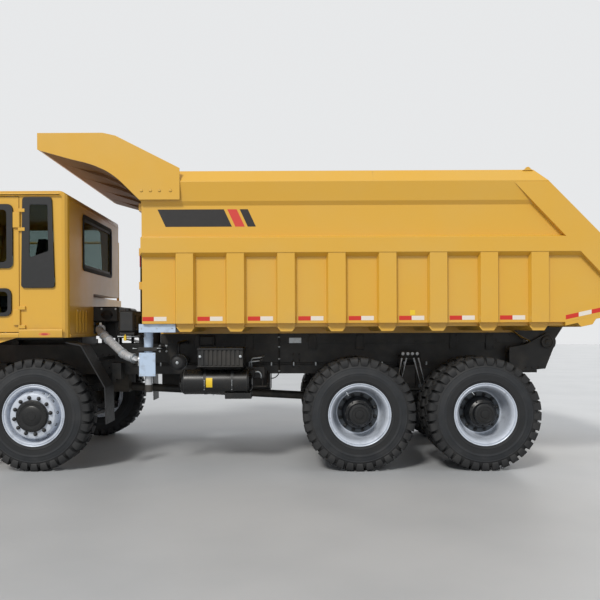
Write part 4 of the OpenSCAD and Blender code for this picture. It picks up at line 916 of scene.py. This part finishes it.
def kit_left():
    """Battery box lid and bolts, relay box, air tank's straps, round filter and valves."""
    build = Build("kit_left", "chassis", "black_steel", "iron", "zinc", "label_yellow", "trim")
    x0, x1, y = KIT_X, KIT_X + 538, -1420
    build.box((x0 - 8, y - 7, 1221.5), (x1 + 8, -1405.6, 1234.5), 3)
    build.box((x0 - 6, y - 6, 1439.4), (x1 + 6, -975, 1450), 4, "trim")
    build.box((x0 - 6, y - 8, 1426), (x1 + 6, y - 0.4, 1450), 3, "trim")
    for x in (x0 + 28, x1 - 26):
        build.tube([(x, y + 12, 1346), (x, y - 6, 1346)], 19, 20)
        build.bolt((x, y - 6, 1346), (0, -1, 0), 11.5, 12, "zinc")
    # Relay box on the bearer above the battery box
    build.box((-1090, -552, 1455), (-880, -495.4, 1590), 12, "trim")
    build.box((-1062, -560, 1472), (-908, -552, 1574), 4)
    # Straps, seams and patch of the air tank
    axis_y, axis_z, r = -1220, 1030, 152
    rod_y = axis_y - r - 8
    for x in (KIT_X + 73, KIT_X + 405):
        build.lathe([(r + 0.5, x - 17), (r + 3.5, x - 17), (r + 3.5, x + 17), (r + 0.5, x + 17)],
                    (0, axis_y, axis_z), "x", 56, "trim", closed=True)
        build.tube([(x, rod_y, 1055), (x, rod_y, 945)], 5.5, 8, "zinc")
        for z in (1062, 1004, 950):
            build.tube([(x, rod_y, z - 7), (x, rod_y, z + 7)], 10.5, 6, "zinc")
        for z in (985, 1030):
            build.box((x - 12, rod_y - 1, z), (x + 12, rod_y + 10, z + 8), 2, "trim")
    for x in (KIT_X - 182, KIT_X + 582):
        build.lathe([(r - 1, x - 6), (r + 1.8, x - 3), (r + 1.8, x + 3), (r - 1, x + 6)],
                    (0, axis_y, axis_z), "x", 56, closed=True)
    patch = [(axis_y + (r + 0.6) * cos(a), axis_z + (r + 0.6) * sin(a))
             for a in (radians(202 - 44 * k / 8) for k in range(9))]
    build.rings([[(x, y, z) for y, z in patch] for x in (-895, -815)], "label_yellow",
                caps=False, around=False)
    drain_x, low_z = KIT_X + 160, axis_z - r
    build.tube([(drain_x, axis_y, low_z + 4), (drain_x, axis_y, low_z - 20)], 11, 8, "zinc")
    # Dished cap of the round filter, with its nut, ring and pipe
    build.at = (KIT_X - 271, -1250, 1267)
    build.lathe([(0, -30), (30, -30), (60, -26), (82, -14), (94.5, 4), (98.5, 6), (98.5, 22), (95.5, 24)],
                (0, 0, 0), "y", 44, "trim", caps=False)
    build.bolt((0, -30, 0), (0, -1, 0), 12, 14, "zinc")
    build.lathe([(95.5, 120), (97.5, 122), (97.5, 146), (95.5, 148)], (0, 0, 0), "y", 44, "zinc",
                closed=True)
    build.tube(bend([(-20, 190, 90), (-20, 190, 233), (20, 550, 253), (20, 753, 233)], 60), 22, 14,
               "trim")
    build.at = (0, 0, 0)
    valves(build)
    build.make()


def valves(build):
    """Air valves on a bracket behind the tank, with their unions and steel pipes."""
    build.box((-352, -970, 1150), (-322, RAIL_FACE, 1185), 4, "black_steel")
    build.box((-440, -1010, 1060), (-200, -970, 1200), 4, "black_steel")
    build.box((-430, -1090, 1082), (-318, -1010.4, 1178), 14, "iron")
    build.lathe([(0, -1118), (30, -1116), (38, -1108), (40, -1089), (0, -1089)],
                (-374, 0, 1130), "y", 24, "iron")
    build.tube(bend([(-318, -1060, 1142), (-262, -1060, 1142), (-240, -1060, 1105),
                     (-240, -1060, 1060)], 20), 9, 10, "zinc")
    build.tube([(-318, -1060, 1142), (-296, -1060, 1142)], 15, 6, "zinc")
    build.tube([(-240, -1060, 1074), (-240, -1060, 1054)], 14, 6, "zinc")
    for z, k in ((1262, 0), (1306, 28)):
        build.tube(bend([(-392 + k, -980, 1200), (-392 + k, -1030, z), (-262 + k, -1030, z + 14),
                         (-250 + k, -700, z + 14), (-250 + k, -480.6, z + 14)], 30), 8.5, 10, "zinc")
    build.tube(bend([(-350, -985, 1060), (-350, -985, 955), (-180, -985, 950), (-180, -600, 960),
                     (-180, -480.6, 1120)], 40), 10, 10, "iron")
    build.tube([(-225, -990, 1060), (-225, -990, 940)], 24, 16, "iron")


def rail_pipes():
    """Steel brake and air pipes clipped along the left rail, with an upright one at its middle."""
    build = Build("rail_pipes_left", "chassis", "iron", "zinc", slot="black_steel")
    y = -RAIL_Y - 12
    for z in (1198, 1222):
        build.tube([(-1980, y, z), (2900, y, z)], 7.5, 8)
    for i in range(17):
        x = -1900 + 295 * i
        build.box((x - 10, y - 10, 1186), (x + 10, RAIL_FACE, 1234), 3, "zinc")
    build.tube(bend([(-28, -512, 1612), (-28, -512, 1075), (-90, -512, 1020), (-160, -512, 1020)], 50),
               6.5, 8)
    for z in (1560, 1430, 1270, 1110):
        build.box((-42, -521, z), (-14, RAIL_FACE if z < 1480 else BEARER_FACE, z + 14), 2, "zinc")
    build.make()
    # Pale blank plate on the bearer
    plate = Build("blank_plate", "chassis", "zinc")
    plate.box((106, BEARER_FACE - 3, 1486), (268, BEARER_FACE, 1556), 1)
    for x in (116, 258):
        plate.bolt((x, BEARER_FACE - 3, 1521), (0, -1, 0), 4, 4)
    plate.make()


def air_box():
    """Black housing behind the engine, on feet from the rails."""
    build = Build("air_box", "chassis", "black_steel", "trim", "zinc")
    build.box((-2600, -560, 1775), (-2150, 500, 1980), 20)
    build.box((-2430, -300, 1560), (-2150, 500, 1785), 15)
    for x in (-2400, -2220):
        for out in (-1, 1):
            build.box((x, out * 450 - 20, 1480.4), (x + 40, out * 450 + 20, 1780), 4, "trim")
    for x in (-2560, -2375, -2190):
        build.bolt((x, -560, 1950), (0, -1, 0), 9, 8, "zinc")
    build.tube([(-2300, -555, 1870), (-2300, -600, 1870)], 75, 24, "trim")
    build.make()


def behind_cab():
    """Oil tank, cross bar and valve between the cab and the body's front wall."""
    build = Build("behind_cab", "chassis", "black_steel", "iron", "label_yellow", "zinc", "trim")
    build.box((-1960, -1300, 1640), (-1770, -800, 1905), 22)
    build.lathe([(0, 1905), (36, 1905), (36, 1932), (30, 1938), (0, 1938)],
                (-1865, -1220, 0), "z", 20, "trim")
    for y in (-1255, -845):
        build.box((-1955, y - 20, 1610), (-1775, y + 20, 1640), 3, "iron")
    build.box((-1905, -1320, 1575), (-1825, -RAIL_Y + 20, 1610.4), 5)
    build.box((-1905, RAIL_FACE + 20, 1480.4), (-1825, -RAIL_Y + 60, 1610.4), 5)
    for y in (-1190, -910):
        build.box((-1770, y - 70, 1690), (-1756, y + 70, 1850), 10, "trim")
    # Bar along the truck with a yellow tap on it
    build.tube([(-1965, -1330, 1592), (-1705, -1330, 1592)], 9, 10, "zinc")
    build.box((-1885, -1350, 1540), (-1855, -1318, 1600), 5, "label_yellow")
    build.tube([(-1870, -1334, 1600), (-1870, -1334, 1622)], 9, 8, "label_yellow")
    build.box((-1710, -1345, 1570), (-1690, -1200, 1610), 4)
    build.box((-1830, -1230, 1576), (-1700, -1200, 1606), 4)
    build.make()


# Cab

def ring_plate(build, outer, inner, y0, y1, material):
    """A flat frame between two (x, z) outlines with as many points each."""
    planes = (y0, outer), (y0, inner), (y1, inner), (y1, outer)
    build.rings([[(x, y, z) for x, z in outline] for y, outline in planes], material, closed=True)


def rounded(corners, r, n=5):
    """(x, z) outline with rounded corners. Corners run anticlockwise from low left."""
    (ax, az), (bx, bz), (cx, cz), (dx, dz) = corners
    return (arc(ax + r, az + r, r, 180, 270, n) + arc(bx - r, bz + r, r, 270, 360, n)
            + arc(cx - r, cz - r, r, 0, 90, n) + arc(dx + r, dz - r, r, 90, 180, n))


def quarter_frame():
    """Black border round the quarter window, with the solid panel below its pane."""
    build = Build("quarter_frame", "chassis", "trim", "rubber_seal")
    build.at = (FRONT_X, -CAB_Y, 0)
    g, top = PANE_GAP, ROOF_Z - 74
    outer = rounded([(g - 112, 2168 + g), (279 - g, 2168 + g),
                     (249 - g, top - g), (g - 96, top - g)], 34.5)
    inner = rounded([(-18, 2525), (212, 2585), (205, top - 88), (-12, top - 84)], 22)
    ring_plate(build, outer, inner, 4, 11.8, "trim")
    lip = [(x + (6 if x < 90 else -6), z + (6 if z < 2900 else -6)) for x, z in inner]
    ring_plate(build, inner, lip, 6, 11.6, "rubber_seal")
    build.make()


def door_trim():
    """Black borders of the door's panes, its handle and inner panel, all on the door."""
    build = Build("door_frames", "door", "trim", "zinc")
    build.at = (FRONT_X - 1287, -CAB_Y, 0)
    width, g = 1150, PANE_GAP
    for outer, r, inner, inner_r in (
            (rect(98 + g, 2400 + g, width - 74 - g, DOOR_TOP - 94 - g), 59,
             rect(160, 2470, width - 144, DOOR_TOP - 160), 45),
            ([(138 + g, 1837 + g), (width - 92 - g, 1837 + g),
              (width - 92 - g, 2165 - g), (98 + g, 2165 - g)], 69,
             [(188, 1880), (width - 135, 1880), (width - 135, 2125), (158, 2125)], 50)):
        ring_plate(build, rounded(outer, r), rounded(inner, inner_r), 5, 13.8, "trim")
    build.box((60, -22, 2250), (210, -12, 2285), 6)
    for x in (68, 188):
        build.box((x, -14, 2255), (x + 16, -0.2, 2280), 3)
    build.tube([(110, -0.2, 2215), (110, -6, 2215)], 14, 16, "zinc")
    # Inner panel with its arm rest
    build.box((60, 40.4, 2190), (width - 80, 52, 2375), 8)
    build.box((250, 50, 2200), (width - 250, 100, 2240), 12)
    build.make()


def cab_trim():
    """Gutter, sill and wheel arch lining of the cab's left side, and beads of its rear wall."""
    build = Build("cab_trim", "chassis", "paint", "rubber_seal")
    y = -CAB_Y
    x0, x1 = FRONT_X - 1360, FRONT_X + 375
    # Gutter with the dark joint under it
    build.along([(y - 0.2, ROOF_Z - 46), (y - 13, ROOF_Z - 44), (y - 13, ROOF_Z - 36),
                 (y - 4, ROOF_Z - 34), (y - 4, ROOF_Z - 26), (y - 0.2, ROOF_Z - 26)], x0 + 100, x1 - 30)
    build.box((x0 + 100, y - 2.2, ROOF_Z - 52), (x1 - 30, y - 0.2, ROOF_Z - 46.5),
              material="rubber_seal")
    # Sill: low under the door, higher behind it
    low, mid, high = 1584.5, 1640, 1684
    for a, b, top in ((CAB_X0 + 80, FRONT_X - 135, mid), (FRONT_X - 132, x1 - 2, high)):
        build.along([(y - 0.2, low), (y - 12, low + 3), (y - 16, low + 14), (y - 16, top - 12),
                     (y - 10, top - 3), (y - 0.2, top)], a, b)
    # Pressed beads of the rear wall
    x = CAB_X1
    for k in range(4):
        yb = -1262 + 124 * k
        build.rings([[(x + 0.2, yb - 22, z), (x + d, yb - 12, z), (x + d, yb + 12, z),
                      (x + 0.2, yb + 22, z)] for z, d in ((1640, 1), (1660, 11), (1900, 11), (1920, 1))])
    build.box((x + 0.2, -1530, 1590), (x + 12, 720, 1622), 4)
    build.box((x + 0.2, -1530, 3205), (x + 6, 720, 3215), 2)
    # Black lining of the wheel arch under the sill
    build.box((FRONT_X - 170, y + 4, 1566), (CAB_X1 - 50, y + 30, 1582.6), 4, "rubber_seal")
    build.make()


def rear_window():
    """Border of the rear wall's window inside the cab, and its rubber seal outside."""
    build = Build("rear_window_frame", "chassis", "trim", "rubber_seal")
    g = PANE_GAP
    for outer, r, inner, inner_r, (a, b, c, d), material in (
            (rect(-1000 + g, 2450 + g, 300 - g, 3100 - g), 30, rect(-955, 2500, 255, 3050), 50,
             (-11.8, -11.8, -0.2, -0.2), "trim"),
            (rect(-1030, 2420, 330, 3130), 60, rect(-985, 2465, 285, 3085), 50,
             (0.4, 0.4, 12, 10), "rubber_seal")):
        outer, inner = rounded(outer, r), rounded(inner, inner_r)
        rows = [[(CAB_X1 + lift, y, z) for y, z in outline]
                for lift, outline in ((a, outer), (b, inner), (c, inner), (d, outer))]
        build.rings(rows, material, closed=True)
    build.make()


# Lamps, windscreen, mirrors, steps and grille

NOSE_X = box_mm("bumper")[0].x
LAMP_Z = 1140
TAIL_LAMP = box_mm("lamps")[1].x


def lamps():
    """Lenses with their rings: headlamps, tail lamps and the oval side marker."""
    build = Build("lamp_lenses", "chassis", "lamp_lens", "red_lens", "amber_lens", "trim", "chrome_rod")
    build.at = (NOSE_X, 0, LAMP_Z)
    for y in (-1330, -1120, 1120, 1330):
        build.lathe([(0, 40.5), (84, 40.5), (84, 10), (76, 7), (76, 16), (50, 8.5), (0, 6)],
                    (0, y, 0), "x", 40)
        build.lathe([(76, 5.5), (84.8, 5.5), (84.8, 12), (76, 12)], (0, y, 0), "x", 40,
                    "chrome_rod", closed=True)
    build.at = (TAIL_LAMP, 0, 0)
    for out in (-1, 1):
        build.box((-54.5, out * 390, 1131), (-12, out * 480, 1239), 6, "trim")
        for z, lens in ((1136, "red_lens"), (1171, "amber_lens"), (1206, "lamp_lens")):
            build.box((-13, out * 396, z), (0, out * 474, z + 29), 4, lens)
    # Oval marker: a black rim, an amber lens and its red middle
    build.at = (FRONT_X + 167.5, -CAB_Y, 1625.5)
    turns = [2 * pi * k / 28 for k in range(28)]
    for w, h, d0, d1, lens in ((77, 22.2, 0.4, 10, "trim"), (70, 18.5, 10, 16.5, "amber_lens"),
                               (40, 11, 16.5, 19, "red_lens")):
        build.across([(w * cos(a), h * sin(a)) for a in turns], -d0, -d1, lens)
    build.make("lamps")


def screen_x(z):
    """Front face of the windscreen's plane at a height."""
    return CAB_X0 + 0.1055 * (z - 2270)


def windscreen():
    """Black border of the windscreen, and the wipers on their pivots."""
    build = Build("windscreen_frame", "chassis", "rubber_seal", "trim", "iron")
    y0, y1, z0, z1 = -CAB_Y + 90, 700, 2350, ROOF_Z - 200

    def row(inset, lift):
        corners = rounded(rect(y0 + inset, z0 + inset, y1 - inset, z1 - inset), 50)
        return [(screen_x(z) + lift, y, z) for y, z in corners]

    build.rings([row(-30, -0.6), row(-26, -6), row(26, -6), row(30, 4)], caps=False)
    for foot, tip in ((-1050, -460), (-100, 490)):
        p = Vector((screen_x(2330) - 22, foot, 2330))
        q = Vector((screen_x(2800) - 20, tip - 160, 2720))
        build.lathe([(0, p.x - 6), (18, p.x - 6), (22, p.x + 22), (0, p.x + 22)],
                    (0, p.y, p.z), "x", 18, "trim")
        build.tube([p, q], [8, 5], 8, "iron")
        way = Vector((0, 550, 800)).normalized() * 300
        a, b = q - way, q + way
        for end in (a, b):
            end.x = screen_x(end.z) - 12
        build.tube([a, b], 6, 6)
    build.make()


def mirror_glass():
    """Mirror faces with their rims."""
    build = Build("mirror_faces", "chassis", "chrome_rod", "trim")
    x = CAB_X0 - 50
    for y, z0, z1 in ((-1590, 2450, 2950), (1590, 2900, 3400)):
        outer = rounded(rect(y - 86, z0 + 4, y + 86, z1 - 4), 30)
        inner = rounded(rect(y - 74, z0 + 16, y + 74, z1 - 16), 24)
        planes = (x + 0.2, outer), (x + 8, outer), (x + 8, inner), (x + 3, inner)
        build.rings([[(px, a, b) for a, b in points] for px, points in planes], "trim", caps=False)
        build.add([(x + 3, a, b) for a, b in inner], [range(len(inner))])
    build.make()


def ladder_grip():
    """Raised grip pattern and bolts of the steps, on the ladder's treads."""
    build = Build("step_grips", "chassis", "iron", "zinc")
    x0 = FRONT_X - 1230
    for z in (475, 775, 1075, 1375):
        for i in range(12):
            for y in (-1530, -1490, -1450, -1415):
                px = x0 + 34 + 29 * i
                build.tube([(px, y, z - 1), (px, y, z + 4.5)], [7.5, 5], 6)
        for px, way in ((x0, -1), (x0 + 394, 1)):
            build.bolt((px, -1500, z - 12.5), (way, 0, 0), 8, 7, "zinc")
    build.make()


def grille():
    """Mesh behind the grille's bars."""
    build = Build("grille_mesh", "chassis", "iron")
    x = CAB_X0 + 26
    y0, y1 = box_mm("radiator")[0].y + 20, 745
    z0, z1 = 1648, 2068
    for i in range(27):
        y = y0 + (y1 - y0) * i / 26
        build.tube([(x, y, z0), (x, y, z1)], 2.8, 4, caps=False)
    for i in range(10):
        z = z0 + (z1 - z0) * i / 9
        build.tube([(x + 4, y0, z), (x + 4, y1, z)], 2.8, 4, caps=False)
    build.make()


# Right side

def fuel_tank():
    """Straps, seams, cap and gauge of the fuel tank."""
    build = Build("fuel_tank_straps", "chassis", "trim", "zinc", "iron")
    (x0, _, z0), (x1, y1, z1) = box_mm("fuel_tank")
    y0 = 740
    outline = rounded(rect(y0, z0, y1, z1), 90, 6)
    cy, cz = (y0 + y1) / 2, (z0 + z1) / 2

    def girdle(*rows):
        return [[(x, y + d * (1 if y > cy else -1), z + d * (1 if z > cz else -1)) for y, z in outline]
                for x, d in rows]

    for x in (x0 + 290, x1 - 290):
        build.rings(girdle((x - 30, 0.4), (x - 30, 4), (x + 30, 4), (x + 30, 0.4)), closed=True)
        build.bolt((x, cy, z0 - 4), (0, 0, -1), 10, 16, "zinc")
    for x in (x0, x1):
        build.rings(girdle((x - 6, 0.2), (x, 3), (x + 6, 0.2)), "iron", caps=False)
    build.lathe([(0, z1 - 1), (55, z1 - 1), (55, z1 + 26), (70, z1 + 28), (70, z1 + 50),
                 (62, z1 + 56), (0, z1 + 56)], (x0 + 160, y1 - 150, 0), "z", 28)
    build.box((x1 - 200, y1 - 1, z0 + 100), (x1 - 140, y1 + 6, z1 - 120), 3)
    build.tube([(x1 - 170, y1 + 9, z0 + 140), (x1 - 170, y1 + 9, z1 - 160)], 6, 8, "zinc")
    build.make()


# Stage and lights

def sun(name, energy, angle, rotation, rgb=(1, 1, 1)):
    data = bpy.data.lights.new(name, "SUN")
    data.energy, data.angle, data.color = energy, radians(angle), rgb
    obj = bpy.data.objects.new(name, data)
    obj.rotation_euler = [radians(a) for a in rotation]
    bpy.context.scene.collection.objects.link(obj)


def stage():
    """A wide grey floor, which isn't part of the truck."""
    mesh = bpy.data.meshes.new("floor")
    r = 60
    mesh.from_pydata([(-r, -r, 0), (r, -r, 0), (r, r, 0), (-r, r, 0)], [], [(0, 1, 2, 3)])
    obj = bpy.data.objects.new("floor", mesh)
    bpy.context.scene.collection.objects.link(obj)
    s = Shader("floor", (176, 178, 180))
    s.patches((160, 163, 166), 0.7, 5, 0.4, 0.7, 0.5)
    mesh.materials.append(s.material)


def world():
    """Lights the truck with one colour and shows another to the camera, glass and gloss."""
    made = bpy.data.worlds.new("world")
    bpy.context.scene.world = made
    made.use_nodes = True
    tree = made.node_tree
    light = tree.nodes["Background"]
    light.inputs["Color"].default_value = (0.93, 0.96, 1.0, 1)
    light.inputs["Strength"].default_value = 0.62
    seen = tree.nodes.new("ShaderNodeBackground")
    seen.inputs["Color"].default_value = (0.8, 0.81, 0.82, 1)
    path = tree.nodes.new("ShaderNodeLightPath")
    mix = tree.nodes.new("ShaderNodeMixShader")
    rays = path.outputs["Is Camera Ray"]
    for other in ("Is Transmission Ray", "Is Glossy Ray"):
        either = tree.nodes.new("ShaderNodeMath")
        either.operation = "MAXIMUM"
        tree.links.new(rays, either.inputs[0])
        tree.links.new(path.outputs[other], either.inputs[1])
        rays = either.outputs[0]
    tree.links.new(rays, mix.inputs["Fac"])
    tree.links.new(light.outputs[0], mix.inputs[1])
    tree.links.new(seen.outputs[0], mix.inputs[2])
    tree.links.new(mix.outputs[0], tree.nodes["World Output"].inputs["Surface"])


finish_nodes()
for side in SIDES:
    front_wheel(side)
    for axle in ("mid", "rear"):
        rear_wheel(axle, side)
tapes()
decal()
heat_cover()
canopy()
canopy_bolts()
body_fittings()
exhaust()
for side in SIDES:
    frame_details(side)
kit_left()
rail_pipes()
air_box()
behind_cab()
quarter_frame()
door_trim()
cab_trim()
rear_window()
lamps()
windscreen()
mirror_glass()
ladder_grip()
grille()
fuel_tank()
stage()
world()
sun("key", 2.2, 12, (48, 0, -24), (1.0, 0.97, 0.92))
sun("fill", 0.5, 40, (60, 0, 150))
bpy.context.scene.view_settings.view_transform = "Standard"
